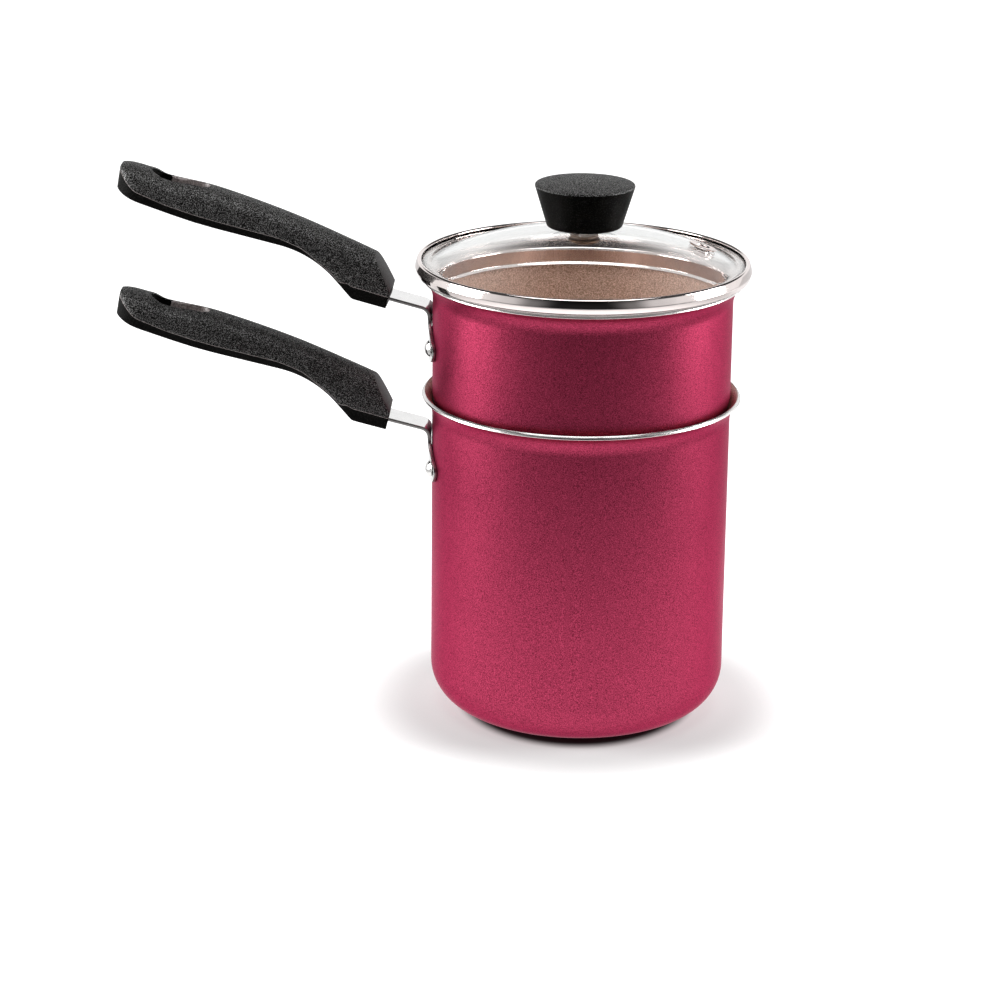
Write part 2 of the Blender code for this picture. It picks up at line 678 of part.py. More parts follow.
def handle_section(distance, underside):
    """Closed section of the handle at a distance: flat foot, drafted wall, ridge and rounded top."""
    rounding = max(0.0, (distance - HANDLE_END + TIP_LENGTH) / TIP_LENGTH)
    half = smooth_value_at(HALF_WIDTH, distance) * sqrt(1 - 0.86 * rounding ** 2.4)
    low = value_at(underside, distance) + 1.6 * MM * rounding ** 3
    top = crown_height(distance) - TIP_DROP * rounding ** 3
    if CROWN_DIP[0][0] < distance < CROWN_DIP[-1][0]:
        top -= smooth_value_at(CROWN_DIP, distance)
    ridge = min(low + smooth_value_at(RIDGE_LIFT, distance), top - 2 * UNDER_EDGE)
    points = [(half - DRAFT - UNDER_EDGE, low), (half - DRAFT, low + UNDER_EDGE / 2)]
    arch_steps = 9
    for i in range(arch_steps + 1):
        angle = pi * i / arch_steps
        side = cos(angle)
        spread = abs(side) ** SECTION_POWER * (1 if side >= 0 else -1)
        points.append((half * spread, ridge + (top - ridge) * sin(angle) ** SECTION_POWER))
    points += [(DRAFT - half, low + UNDER_EDGE / 2), (DRAFT + UNDER_EDGE - half, low)]
    return points


def handle_distances():
    """Where the handle's sections stand, close together at the knee and the round end."""
    knee_start = UNDERSIDE[1][0] - 3 * MM
    knee_end = UNDERSIDE[2][0] + 12 * MM
    round_start = HANDLE_END - TIP_LENGTH
    front = [UNDERSIDE[0][0] + (knee_start - UNDERSIDE[0][0]) * i / 2 for i in range(2)]
    knee = [knee_start + (knee_end - knee_start) * i / 8 for i in range(8)]
    dip_start, dip_low, dip_end = (point[0] for point in CROWN_DIP)
    back = [knee_end + (dip_start - knee_end) * i / 3 for i in range(3)]
    back += [dip_start + (dip_low - dip_start) * i / 4 for i in range(4)]
    back += [dip_low + (dip_end - dip_low) * i / 3 for i in range(4)]
    tip = [round_start + TIP_LENGTH * sin(pi / 2 * i / 5) for i in range(6)]
    return front + knee + back + tip


def slice_off(shape, point, normal):
    """Cut a closed shape at a plane, drop what lies on the normal's side and close the cut."""
    everything = shape.verts[:] + shape.edges[:] + shape.faces[:]
    bmesh.ops.bisect_plane(
        shape, geom=everything, dist=1e-7, plane_co=point, plane_no=normal, clear_outer=True)
    rim = [edge for edge in shape.edges if edge.is_boundary]
    bmesh.ops.contextual_create(shape, geom=rim)


def make_handle(name, parent):
    """Moulded handle lofted along its length, with a faceted nose, a tang pocket and a hanging slot."""
    underside = rounded(UNDERSIDE)
    shape = bmesh.new()
    rings = []
    for distance in handle_distances():
        section = handle_section(distance, underside)
        lean = tan(TIP_LEAN) * max(0.0, (distance - HANDLE_END + TIP_LENGTH) / TIP_LENGTH)
        foot = section[0][1]
        rings.append([
            shape.verts.new((-BODY_RADIUS - distance + lean * (height - foot), across, height))
            for across, height in section])
    count = len(rings[0])
    for near, far in zip(rings, rings[1:]):
        for i in range(count):
            after = (i + 1) % count
            shape.faces.new((near[i], near[after], far[after], far[i]))
    shape.faces.new(reversed(rings[0]))
    shape.faces.new(rings[-1])
    face_point = strap_matrix(NOSE_DISTANCE).translation
    slice_off(shape, face_point, (cos(STRAP_RISE), 0, -sin(STRAP_RISE)))
    chamfer_point = Vector((-BODY_RADIUS - NOSE_TOP[0], 0, NOSE_TOP[1]))
    chamfer_run = CROWN_POINT[0] - NOSE_TOP[0]
    chamfer_rise = CROWN_POINT[1] - NOSE_TOP[1]
    slice_off(shape, chamfer_point, Vector((chamfer_rise, 0, chamfer_run)).normalized())
    bmesh.ops.recalc_face_normals(shape, faces=shape.faces)
    mesh = bpy.data.meshes.new(name)
    shape.to_mesh(mesh)
    shape.free()
    handle = new_piece(name, mesh, BLACK_PLASTIC, parent)

    for cutter in (pocket_cutter(name, parent), slot_cutter(name, parent), scoop_cutter(name, parent)):
        cut(handle, cutter)
    place = strap_matrix(HANDLE_SCREW_DISTANCE)
    screw_top = BRACKET_SHEET / 2 + HANDLE_SCREW_LENGTH
    cut(handle, cylinder_cutter(
        name + "_screw_bore", HANDLE_SCREW_RADIUS + GAP, place, -0.02, screw_top, 12, parent))
    cut(handle, cylinder_cutter(
        name + "_counterbore", HANDLE_SCREW_HEAD_RADIUS + GAP, place, -0.03, screw_seat(), SMALL_STEPS, parent))
    return handle


def screw_seat():
    """Height of the handle screw's seat, square to the strap and counted from its middle."""
    foot = value_at(rounded(UNDERSIDE), HANDLE_SCREW_DISTANCE) - strap_height(HANDLE_SCREW_DISTANCE)
    return foot * cos(STRAP_RISE) + COUNTERBORE_DEPTH


def pocket_cutter(name, parent):
    """Room for the strap's tang in the nose."""
    length = (STRAP_REACH - NOSE_DISTANCE) / cos(STRAP_RISE) + GAP
    shape = bmesh.new()
    bmesh.ops.create_cube(shape, size=1.0)
    size = (2 * length, STRAP_WIDTH + 2 * GAP, BRACKET_SHEET + 2 * GAP)
    bmesh.ops.scale(shape, vec=size, verts=shape.verts)
    bmesh.ops.transform(shape, matrix=strap_matrix(NOSE_DISTANCE), verts=shape.verts)
    mesh = bpy.data.meshes.new(name + "_pocket")
    shape.to_mesh(mesh)
    shape.free()
    return as_cutter(bpy.data.objects.new(name + "_pocket", mesh), parent)


def slot_matrix(distance):
    """Place on the handle's top, with Z square to it and X outwards."""
    slope = asin(sin(CROWN_SLOPE) - (distance - CROWN_POINT[0]) / CROWN_RADIUS)
    place = Matrix.Translation((-BODY_RADIUS - distance, 0, crown_height(distance)))
    return place @ Matrix.Rotation(pi, 4, "Z") @ Matrix.Rotation(-slope, 4, "Y")


def slot_cutter(name, parent):
    """Hanging slot: a long hole with round ends, square to the handle's top."""
    middle = (SLOT_START + SLOT_END) / 2
    half = (SLOT_END - SLOT_START) / 2 - SLOT_HALF_WIDTH
    outline = Path(half, -SLOT_HALF_WIDTH).bend(SLOT_HALF_WIDTH, pi, radians(30)).points
    outline += [(-across, -height) for across, height in outline]
    shape = bmesh.new()
    depth = 0.04
    ring = [shape.verts.new((across, height, -depth)) for across, height in outline]
    face = shape.faces.new(ring)
    grown = bmesh.ops.extrude_face_region(shape, geom=[face])
    lifted = [item for item in grown["geom"] if isinstance(item, bmesh.types.BMVert)]
    bmesh.ops.translate(shape, verts=lifted, vec=(0, 0, 1.5 * depth))
    bmesh.ops.transform(shape, matrix=slot_matrix(middle), verts=shape.verts)
    bmesh.ops.recalc_face_normals(shape, faces=shape.faces)
    mesh = bpy.data.meshes.new(name + "_slot")
    shape.to_mesh(mesh)
    shape.free()
    return as_cutter(bpy.data.objects.new(name + "_slot", mesh), parent)


def scoop_cutter(name, parent):
    """Shallow scoop round the slot, deepest towards the end."""
    height = 2.2 * SCOOP_DEPTH
    shape = bmesh.new()
    bmesh.ops.create_uvsphere(shape, u_segments=16, v_segments=10, radius=1.0)
    bmesh.ops.scale(shape, vec=(SCOOP_LENGTH, SCOOP_HALF_WIDTH, height), verts=shape.verts)
    lift = Matrix.Translation((0, 0, height - SCOOP_DEPTH))
    place = slot_matrix(SCOOP_DISTANCE) @ lift @ Matrix.Rotation(SCOOP_TILT / 2, 4, "Y")
    bmesh.ops.transform(shape, matrix=place, verts=shape.verts)
    mesh = bpy.data.meshes.new(name + "_scoop")
    shape.to_mesh(mesh)
    shape.free()
    return as_cutter(bpy.data.objects.new(name + "_scoop", mesh), parent)


def make_handle_screw(name, parent):
    """Pan-headed screw from below, through the tang into the handle."""
    seat = screw_seat() - GAP
    end = BRACKET_SHEET / 2 + HANDLE_SCREW_LENGTH - 2 * GAP
    head_edge = HANDLE_SCREW_HEAD_HEIGHT / 3
    outline = [
        (0.0, end),
        (HANDLE_SCREW_RADIUS, end),
        (HANDLE_SCREW_RADIUS, seat),
        (HANDLE_SCREW_HEAD_RADIUS, seat),
        (HANDLE_SCREW_HEAD_RADIUS, seat - HANDLE_SCREW_HEAD_HEIGHT + head_edge),
        (HANDLE_SCREW_HEAD_RADIUS - head_edge, seat - HANDLE_SCREW_HEAD_HEIGHT),
        (0.0, seat - HANDLE_SCREW_HEAD_HEIGHT),
    ]
    screw = turned(name, outline, STEEL, SMALL_STEPS, parent, closed=False)
    screw.matrix_local = strap_matrix(HANDLE_SCREW_DISTANCE)
    return screw


def fit_handle(vessel, prefix, rivet_height, turn, parent):
    """Bracket, rivets, handle and screw on one vessel, with the rivet holes in its wall."""
    frame = new_frame(prefix + "_handle_frame", (0, 0, rivet_height), parent)
    frame.rotation_euler.z = turn
    for ending, matrix in rivet_places():
        cut(vessel, cylinder_cutter(
            prefix + "_wall_hole" + ending, RIVET_SHANK + GAP, matrix, -3 * WALL, 2 * WALL, 12, frame))
    make_bracket(prefix + "_bracket", frame)
    for ending, matrix in rivet_places():
        make_rivet(prefix + "_rivet" + ending, matrix, frame)
    make_handle(prefix + "_handle", frame)
    make_handle_screw(prefix + "_handle_screw", frame)


def settle_meshes():
    """Give each piece its finished mesh, smooth over round stretches and sharp at edges."""
    bpy.context.view_layer.update()
    graph = bpy.context.evaluated_depsgraph_get()
    finished = {}
    for piece in PARTS.objects:
        if piece.type == "MESH":
            finished[piece] = bpy.data.meshes.new_from_object(piece.evaluated_get(graph))
    for piece, mesh in finished.items():
        piece.modifiers.clear()
        piece.data = mesh
        mesh.name = piece.name
        mesh.shade_smooth()
        mesh.set_sharp_from_angle(angle=SMOOTH_ANGLE)


def main():
    pot_frame = new_frame("pot_frame", (0, 0, 0))
    steamer_frame = new_frame("steamer_frame", (0, 0, POT_HEIGHT), pot_frame)
    lid_frame = new_frame("lid_frame", (0, 0, STEAMER_RISE), steamer_frame)
    pot = make_cooking_pot(pot_frame)
    fit_handle(pot, "pot", POT_HEIGHT - POT_RIVET_DROP, 0.0, pot_frame)
    steamer = make_steamer_pot(steamer_frame)
    fit_handle(steamer, "steamer", STEAMER_RISE - STEAMER_RIVET_DROP, STEAMER_TURN, steamer_frame)
    make_steam_disc(steamer_frame)
    make_lid_glass(lid_frame)
    make_lid_band(lid_frame)
    make_knob(lid_frame)
    make_vent(lid_frame)
    settle_meshes()


main()
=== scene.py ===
"""Looks of the couscous steamer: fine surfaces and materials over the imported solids, light and camera.

Lengths are metres in the part's own frame. Sizes that part.py has too are repeated under its names.
"""

from math import acos, asin, atan2, cos, pi, radians, sin, sqrt, tan

import bmesh
import bpy
from mathutils import Matrix, Vector


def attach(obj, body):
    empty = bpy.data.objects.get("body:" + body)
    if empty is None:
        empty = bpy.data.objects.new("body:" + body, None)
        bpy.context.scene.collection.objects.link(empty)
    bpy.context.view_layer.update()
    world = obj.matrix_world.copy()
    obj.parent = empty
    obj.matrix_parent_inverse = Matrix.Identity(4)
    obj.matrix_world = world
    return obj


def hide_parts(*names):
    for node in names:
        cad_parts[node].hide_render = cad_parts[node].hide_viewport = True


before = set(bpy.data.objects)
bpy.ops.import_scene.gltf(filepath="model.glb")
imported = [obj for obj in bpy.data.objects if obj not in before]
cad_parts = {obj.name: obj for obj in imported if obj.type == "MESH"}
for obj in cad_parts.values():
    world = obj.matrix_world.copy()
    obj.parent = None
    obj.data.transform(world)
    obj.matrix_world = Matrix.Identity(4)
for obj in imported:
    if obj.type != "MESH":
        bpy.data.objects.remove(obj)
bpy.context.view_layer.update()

MM = 0.001
GAP = 0.3 * MM
WALL = 2.0 * MM
BODY_RADIUS = 70.0 * MM
POT_HEIGHT = 154.2 * MM
STEAMER_RISE = 56.2 * MM
STEAMER_RIM = POT_HEIGHT + STEAMER_RISE
STEAMER_TURN = radians(-3)
BASE_CORNER = 20.0 * MM
BARE_BASE = 47.0 * MM
FLARE_RADIUS = 12.0 * MM
FLARE_ANGLE = radians(54)
SHOULDER_RADIUS = 24.0 * MM
SHOULDER_FILLET = 6.0 * MM
NECK_CLEARANCE = 0.6 * MM
NECK_DEPTH = 22.0 * MM
NECK_CORNER = 3.0 * MM
LEDGE_WIDTH = 5.0 * MM
MOUTH_RADIUS = BODY_RADIUS - WALL
FLARE_HEIGHT = WALL / 2 + (FLARE_RADIUS + WALL / 2) * sin(FLARE_ANGLE)
NECK_MIDDLE = MOUTH_RADIUS - NECK_CLEARANCE - WALL / 2
NECK_INSIDE = NECK_MIDDLE - WALL / 2
EDGE_BREAK = 0.25 * MM

DISC_THICKNESS = 1.5 * MM
DISC_CLEARANCE = 1.0 * MM
HOLE_RADIUS = 1.7 * MM
HOLE_PITCH = 13.5 * MM
HOLE_RINGS = 4

LID_RADIUS = 78.3 * MM
BAND_SHEET = 0.8 * MM
BAND_HEIGHT = 7.0 * MM
BAND_BEAD = 0.8 * MM
LIP_ANGLE = radians(30)
LIP_LENGTH = 0.3 * MM
GLASS_THICKNESS = 4.0 * MM
DOME_RADIUS = 178.0 * MM
GLASS_HOLE = 3.1 * MM
GLASS_EDGE_GAP = 1.0 * MM
GLASS_RIM = 2.7 * MM
GLASS_RIM_FILLET = 6.0 * MM

KNOB_TOP_RADIUS = 23.3 * MM
KNOB_FOOT_RADIUS = 17.2 * MM
KNOB_HEIGHT = 20.0 * MM
KNOB_CROWN = 1.3 * MM
KNOB_EDGE = 0.9 * MM
KNOB_FOOT_EDGE = 1.6 * MM
GASKET_THICKNESS = 1.8 * MM
GASKET_RADIUS = 7.0 * MM
UNDER_GASKET_THICKNESS = 1.0 * MM
UNDER_GASKET_RADIUS = 6.4 * MM
INSERT_RADIUS = 4.0 * MM
INSERT_LENGTH = 11.0 * MM
KNOB_SCREW_RADIUS = 2.5 * MM
KNOB_SCREW_GRIP = 9.0 * MM
KNOB_SCREW_HEAD_RADIUS = 7.3 * MM
KNOB_SCREW_HEAD_HEIGHT = 2.6 * MM

VENT_DISTANCE = 55.0 * MM
VENT_ANGLE = radians(8)
VENT_HOLE = 3.8 * MM
VENT_BORE = 2.9 * MM
VENT_SHEET = 0.6 * MM
VENT_FLANGE = 6.5 * MM
VENT_ROLL = 5.4 * MM
VENT_WASHER_THICKNESS = 0.8 * MM

BRACKET_SHEET = 1.5 * MM
STRAP_WIDTH = 17.0 * MM
STRAP_RISE = radians(14)
STRAP_ROOT = 16.3 * MM
STRAP_REACH = 36.0 * MM
BRACKET_BEND = 4.6 * MM
PLATE_LOBE = 6.4 * MM
PLATE_NECK = 11.0 * MM
RIVET_SPREAD = 16.5 * MM
RIVET_SHANK = 2.0 * MM
RIVET_HEAD_RADIUS = 4.2 * MM
RIVET_HEAD_HEIGHT = 2.3 * MM
RIVET_INNER_RADIUS = 4.0 * MM
RIVET_INNER_HEIGHT = 1.2 * MM
LEG_DISTANCE = GAP + BRACKET_SHEET / 2
POT_RIVETS = POT_HEIGHT - 35.0 * MM
STEAMER_RIVETS = STEAMER_RIM - 33.9 * MM

CROWN_POINT = (26.8 * MM, 41.0 * MM)
CROWN_SLOPE = radians(25.2)
CROWN_RADIUS = 527.0 * MM
NOSE_TOP = (19.0 * MM, 24.5 * MM)
NOSE_DISTANCE = 20.2 * MM
HANDLE_END = 147.1 * MM
TIP_LENGTH = 13.0 * MM
TIP_LEAN = radians(11)
TIP_DROP = 0.6 * MM
TIP_LIFT = 1.6 * MM
TIP_NARROWING = 0.86
FLASH_INSET = 0.12 * MM
FLASH_HEIGHT = 0.25 * MM
DRAFT = 1.5 * MM
UNDER_EDGE = 1.0 * MM
SECTION_POWER = 0.72
CAP_STEPS = 40
SLOT_START = 103.7 * MM
SLOT_END = 129.3 * MM
SLOT_HALF_WIDTH = 4.5 * MM
SCOOP_DISTANCE = 117.0 * MM
SCOOP_LENGTH = 15.5 * MM
SCOOP_HALF_WIDTH = 7.6 * MM
SCOOP_DEPTH = 3.6 * MM
HANDLE_SCREW_DISTANCE = 30.0 * MM
HANDLE_SCREW_RADIUS = 1.9 * MM
HANDLE_SCREW_HEAD_RADIUS = 3.5 * MM
HANDLE_SCREW_HEAD_HEIGHT = 2.0 * MM
COUNTERBORE_DEPTH = 2.4 * MM

# The handle's underside, in mm: distance from the body's wall, height above the rivets, corner radius.
UNDERSIDE = ((8.0, 13.2, 0.0), (37.3, 20.7, 3.0), (55.2, 41.3, 50.0), (110.0, 54.8, 250.0),
             (148.0, 67.5, 0.0))
# Other lines along it, in mm: distance and size.
CROWN_DIP = ((100.0, 0.0), (125.0, 1.5), (131.0, 0.0))
RIDGE_LIFT = ((8.0, 6.2), (37.5, 6.6), (43.5, 2.2), (51.0, 1.7), (62.0, 3.2), (75.0, 4.0), (122.0, 4.3),
              (136.0, 5.2), (148.0, 9.5))
HALF_WIDTH = ((8.0, 11.8), (30.0, 12.0), (60.0, 11.6), (115.0, 13.3), (148.0, 13.3))

# Edges sharper than this many degrees stay sharp.
SHARP = 40


# Drawing helpers


class Path:
    """A line in the plane of distance and height, drawn like a pen that turns as it goes."""

    def __init__(self, across, height, heading=0.0):
        self.points = [(across, height)]
        self.heading = heading

    def line(self, length):
        across, height = self.points[-1]
        self.points.append((across + length * cos(self.heading), height + length * sin(self.heading)))

    def out_to(self, across):
        self.line((across - self.points[-1][0]) / cos(self.heading))

    def up_to(self, height):
        self.line((height - self.points[-1][1]) / sin(self.heading))

    def turn(self, angle):
        self.heading += angle

    def bend(self, radius, angle, step=radians(6)):
        count = max(1, round(abs(angle) / step))
        chord = 2 * radius * sin(abs(angle) / count / 2)
        for _ in range(count):
            self.heading += angle / count / 2
            self.line(chord)
            self.heading += angle / count / 2


def offset(points, distance):
    """Points moved to the left of a line that runs through them."""
    moved = []
    for index, (across, height) in enumerate(points):
        before = points[max(index - 1, 0)]
        after = points[min(index + 1, len(points) - 1)]
        arrive = Vector((across - before[0], height - before[1]))
        leave = Vector((after[0] - across, after[1] - height))
        if arrive.length == 0:
            arrive = leave
        if leave.length == 0:
            leave = arrive
        middle = (arrive.normalized() + leave.normalized()).normalized()
        stretch = distance / max(middle.dot(leave.normalized()), 0.5)
        moved.append((across - middle.y * stretch, height + middle.x * stretch))
    return moved


def rounded(corners):
    """A line through corners of (distance, height, radius), with each corner rounded."""
    points = [corners[0][:2]]
    for before, corner, after in zip(corners, corners[1:], corners[2:]):
        here = Vector(corner[:2])
        arrive = (here - Vector(before[:2])).normalized()
        leave = (Vector(after[:2]) - here).normalized()
        turn = atan2(arrive.x * leave.y - arrive.y * leave.x, arrive.dot(leave))
        start = here - arrive * corner[2] * tan(abs(turn) / 2)
        arc = Path(start.x, start.y, atan2(arrive.y, arrive.x))
        arc.bend(corner[2], turn, radians(3))
        points += arc.points
    points.append(corners[-1][:2])
    return points


def soft_step(share):
    return share * share * (3 - 2 * share)


def value_at(points, across, soft=False):
    """Height of a line at a distance, straight or with a soft passage between its points."""
    for (x0, y0), (x1, y1) in zip(points, points[1:]):
        if across <= x1:
            share = (across - x0) / (x1 - x0)
            return y0 + (y1 - y0) * (soft_step(share) if soft else share)
    return points[-1][1]


def add_object(name, data):
    made = bpy.data.objects.new(name, data)
    bpy.context.scene.collection.objects.link(made)
    return made


def finish_mesh(name, shape, looks):
    """An object from a bmesh, smooth but for its sharp edges."""
    bmesh.ops.recalc_face_normals(shape, faces=shape.faces)
    mesh = bpy.data.meshes.new(name)
    shape.to_mesh(mesh)
    shape.free()
    for look in looks:
        mesh.materials.append(look)
    mesh.shade_smooth()
    mesh.set_sharp_from_angle(angle=radians(SHARP))
    return add_object(name, mesh)


def lathe(name, outline, looks, steps=180, closed=False, matrix=None):
    """A solid turned about Z. Outline points are (radius, height) or (radius, height, look)."""
    shape = bmesh.new()
    rings = []
    for radius, height, *_ in outline:
        if radius < 1e-7:
            rings.append([shape.verts.new((0, 0, height))])
            continue
        angles = [2 * pi * i / steps for i in range(steps)]
        rings.append([shape.verts.new((radius * cos(t), radius * sin(t), height)) for t in angles])
    pairs = list(zip(rings, rings[1:], outline))
    if closed:
        pairs.append((rings[-1], rings[0], outline[-1]))
    for low, high, point in pairs:
        for i in range(steps):
            j = (i + 1) % steps
            corners = []
            for vert in (low[i % len(low)], low[j % len(low)], high[j % len(high)], high[i % len(high)]):
                if vert not in corners:
                    corners.append(vert)
            if len(corners) > 2:
                face = shape.faces.new(corners)
                face.material_index = point[2] if len(point) > 2 else 0
    if matrix is not None:
        bmesh.ops.transform(shape, matrix=matrix, verts=shape.verts)
    return finish_mesh(name, shape, looks)


def dress(piece, body, slot, *nodes):
    """The piece rides on the body and stands for the nodes. The steamer's handle side is turned."""
    if nodes[0].startswith("steamer_") and nodes[0] != "steamer_pot":
        piece.data.transform(Matrix.Rotation(STEAMER_TURN, 4, "Z"))
    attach(piece, body)
    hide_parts(*nodes)


def bevel_edges(piece, width, angle):
    bevel = piece.modifiers.new("edges", "BEVEL")
    bevel.width = width
    bevel.segments = 2
    bevel.limit_method = "ANGLE"
    bevel.angle_limit = angle
    return bevel


def take_modifiers(piece, sharp):
    """Give the piece its finished mesh."""
    bpy.context.view_layer.update()
    graph = bpy.context.evaluated_depsgraph_get()
    mesh = bpy.data.meshes.new_from_object(piece.evaluated_get(graph))
    piece.modifiers.clear()
    piece.data = mesh
    mesh.name = piece.name
    mesh.shade_smooth()
    mesh.set_sharp_from_angle(angle=radians(sharp))


def cut(piece, cutters):
    """Cut the cutters from the piece, and remove them. The cut faces keep the cutters' looks."""
    for cutter in cutters:
        boolean = piece.modifiers.new("cut", "BOOLEAN")
        boolean.operation = "DIFFERENCE"
        boolean.solver = "EXACT"
        boolean.material_mode = "TRANSFER"
        boolean.object = cutter
    take_modifiers(piece, SHARP)
    for cutter in cutters:
        mesh = cutter.data
        bpy.data.objects.remove(cutter)
        bpy.data.meshes.remove(mesh)


# Materials


def add_node(tree, kind, inputs, **settings):
    """A node with its settings. Its inputs are linked where a socket is given, and else set."""
    made = tree.nodes.new(kind)
    for key, value in settings.items():
        setattr(made, key, value)
    for key, value in inputs.items():
        if isinstance(value, bpy.types.NodeSocket):
            tree.links.new(value, made.inputs[key])
        else:
            made.inputs[key].default_value = value
    return made


def remap(tree, value, low, high, at_low, at_high, kind="LINEAR"):
    inputs = {0: value, 1: low, 2: high, 3: at_low, 4: at_high}
    return add_node(tree, "ShaderNodeMapRange", inputs, interpolation_type=kind).outputs[0]


def compute(tree, operation, *values):
    return add_node(tree, "ShaderNodeMath", dict(enumerate(values)), operation=operation).outputs[0]


def length(tree, vector):
    return add_node(tree, "ShaderNodeVectorMath", {0: vector}, operation="LENGTH").outputs["Value"]


class Look:
    """A Principled material with a small tree of texture nodes.

    The colour and roughness given first are the plain ones, for a viewer that doesn't show the textures.
    """

    def __init__(self, name, colour, roughness, metallic=0.0, **sockets):
        self.material = bpy.data.materials.new(name)
        self.material.use_nodes = True
        self.tree = self.material.node_tree
        self.shader = self.tree.nodes["Principled BSDF"]
        self.shader.inputs["Base Color"].default_value = (*colour, 1)
        self.shader.inputs["Roughness"].default_value = roughness
        self.shader.inputs["Metallic"].default_value = metallic
        for socket, value in sockets.items():
            self.shader.inputs[socket.replace("_", " ")].default_value = value
        self.place = add_node(self.tree, "ShaderNodeTexCoord", {}).outputs["Object"]

    def to(self, socket, value):
        self.tree.links.new(value, self.shader.inputs[socket])

    def noise(self, size, detail=2.0, roughness=0.5, place=None):
        """Noise with features of about the size, in metres."""
        inputs = {"Scale": 1.0 / size, "Detail": detail, "Roughness": roughness}
        inputs["Vector"] = place or self.place
        return add_node(self.tree, "ShaderNodeTexNoise", inputs).outputs["Fac"]

    def stretch(self, x, y, z):
        inputs = {"Vector": self.place, "Scale": (x, y, z)}
        return add_node(self.tree, "ShaderNodeMapping", inputs).outputs["Vector"]

    def remap(self, value, low, high, at_low, at_high):
        return remap(self.tree, value, low, high, at_low, at_high)

    def mix(self, share, *colours):
        """Blend of two colours, each a socket or a tuple."""
        first, second = [c if isinstance(c, bpy.types.NodeSocket) else (*c, 1) for c in colours]
        inputs = {0: share, 6: first, 7: second}
        return add_node(self.tree, "ShaderNodeMix", inputs, data_type="RGBA").outputs[2]

    def shade(self, value, low, high, dark, light):
        """Colour that goes from dark to light while the value goes from low to high."""
        return self.mix(self.remap(value, low, high, 0.0, 1.0), dark, light)

    def rough(self, value, low, high, at_low, at_high):
        self.to("Roughness", self.remap(value, low, high, at_low, at_high))

    def relief(self, value, depth):
        """Bumps of the depth, in metres."""
        bump = add_node(self.tree, "ShaderNodeBump", {"Strength": 1.0, "Distance": depth, "Height": value})
        self.to("Normal", bump.outputs["Normal"])


def enamel():
    """Raspberry metallic enamel with fine flakes."""
    look = Look("raspberry_enamel", (0.28, 0.027, 0.058), 0.42, 0.95, Specular_Tint=(0.72, 0.43, 0.50, 1))
    flakes = look.noise(0.36 * MM, 1.0)
    cloud = look.noise(26 * MM)
    base = look.shade(flakes, 0.36, 0.64, (0.14, 0.012, 0.031), (0.50, 0.053, 0.121))
    look.to("Base Color", look.mix(look.remap(cloud, 0.3, 0.7, 0.0, 0.12), base, (0.33, 0.036, 0.081)))
    look.rough(cloud, 0.25, 0.75, 0.36, 0.44)
    look.relief(flakes, 0.04 * MM)
    return look.material


def coating():
    """Brown metallic non-stick coating with bright flakes and faint turning marks."""
    look = Look("brown_coating", (0.3, 0.2, 0.16), 0.4, 0.5)
    grain = look.noise(0.6 * MM, 2.0, 0.7)
    rings = look.noise(1.4 * MM, 1.0, 0.5, look.stretch(0.03, 0.03, 1.0))
    base = look.shade(grain, 0.36, 0.64, (0.24, 0.143, 0.100), (0.88, 0.61, 0.49))
    look.to("Base Color", look.mix(look.remap(rings, 0.3, 0.7, 0.0, 0.25), base, (0.50, 0.345, 0.265)))
    look.rough(rings, 0.3, 0.7, 0.34, 0.46)
    look.relief(grain, 0.08 * MM)
    return look.material


def bare_edge():
    """Turned aluminium edge."""
    look = Look("bare_edge", (0.80, 0.79, 0.78), 0.24, 1.0)
    lines = look.noise(0.25 * MM, 1.0, 0.5, look.stretch(0.02, 0.02, 1.0))
    look.to("Base Color", look.shade(lines, 0.3, 0.7, (0.70, 0.68, 0.67), (0.88, 0.87, 0.86)))
    look.rough(lines, 0.3, 0.7, 0.18, 0.34)
    look.relief(lines, 0.01 * MM)
    return look.material


def spun_base():
    """Bare spun base with fine rings."""
    look = Look("spun_base", (0.62, 0.61, 0.60), 0.3, 1.0)
    radius = length(look.tree, look.stretch(1, 1, 0))
    rings = compute(look.tree, "SINE", compute(look.tree, "MULTIPLY", radius, 2 * pi / (0.9 * MM)))
    scuffs = look.noise(9 * MM, 3.0, 0.6)
    look.to("Base Color", look.shade(scuffs, 0.3, 0.7, (0.50, 0.49, 0.48), (0.68, 0.67, 0.66)))
    look.rough(scuffs, 0.3, 0.7, 0.26, 0.40)
    look.relief(rings, 0.02 * MM)
    return look.material


def steel(name, roughness, tint):
    """Polished stainless steel with faint polishing streaks."""
    look = Look(name, tint, roughness, 1.0)
    streaks = look.noise(0.5 * MM, 2.0, 0.5, look.stretch(0.12, 0.12, 1.0))
    patches = look.noise(7 * MM)
    look.to("Base Color", look.shade(patches, 0.3, 0.7, tuple(0.94 * c for c in tint), tint))
    look.rough(streaks, 0.25, 0.75, roughness * 0.8, roughness * 1.5)
    look.relief(streaks, 0.001 * MM)
    return look.material


def grained_moulding():
    """Black phenolic with a spark-eroded grain. Its grey specks in the colour are painted glints."""
    look = Look("grained_moulding", (0.02, 0.02, 0.02), 0.45, Specular_IOR_Level=0.3)
    grain = look.noise(0.40 * MM, 1.0)
    share = look.remap(grain, 0.50, 0.64, 0.0, 1.0)
    look.to("Base Color", look.mix(share, (0.0022, 0.0021, 0.0019), (0.19, 0.187, 0.184)))
    look.to("Specular IOR Level", look.remap(share, 0.0, 1.0, 0.05, 0.75))
    look.rough(share, 0.0, 1.0, 0.55, 0.38)
    look.relief(grain, 0.12 * MM)
    return look.material


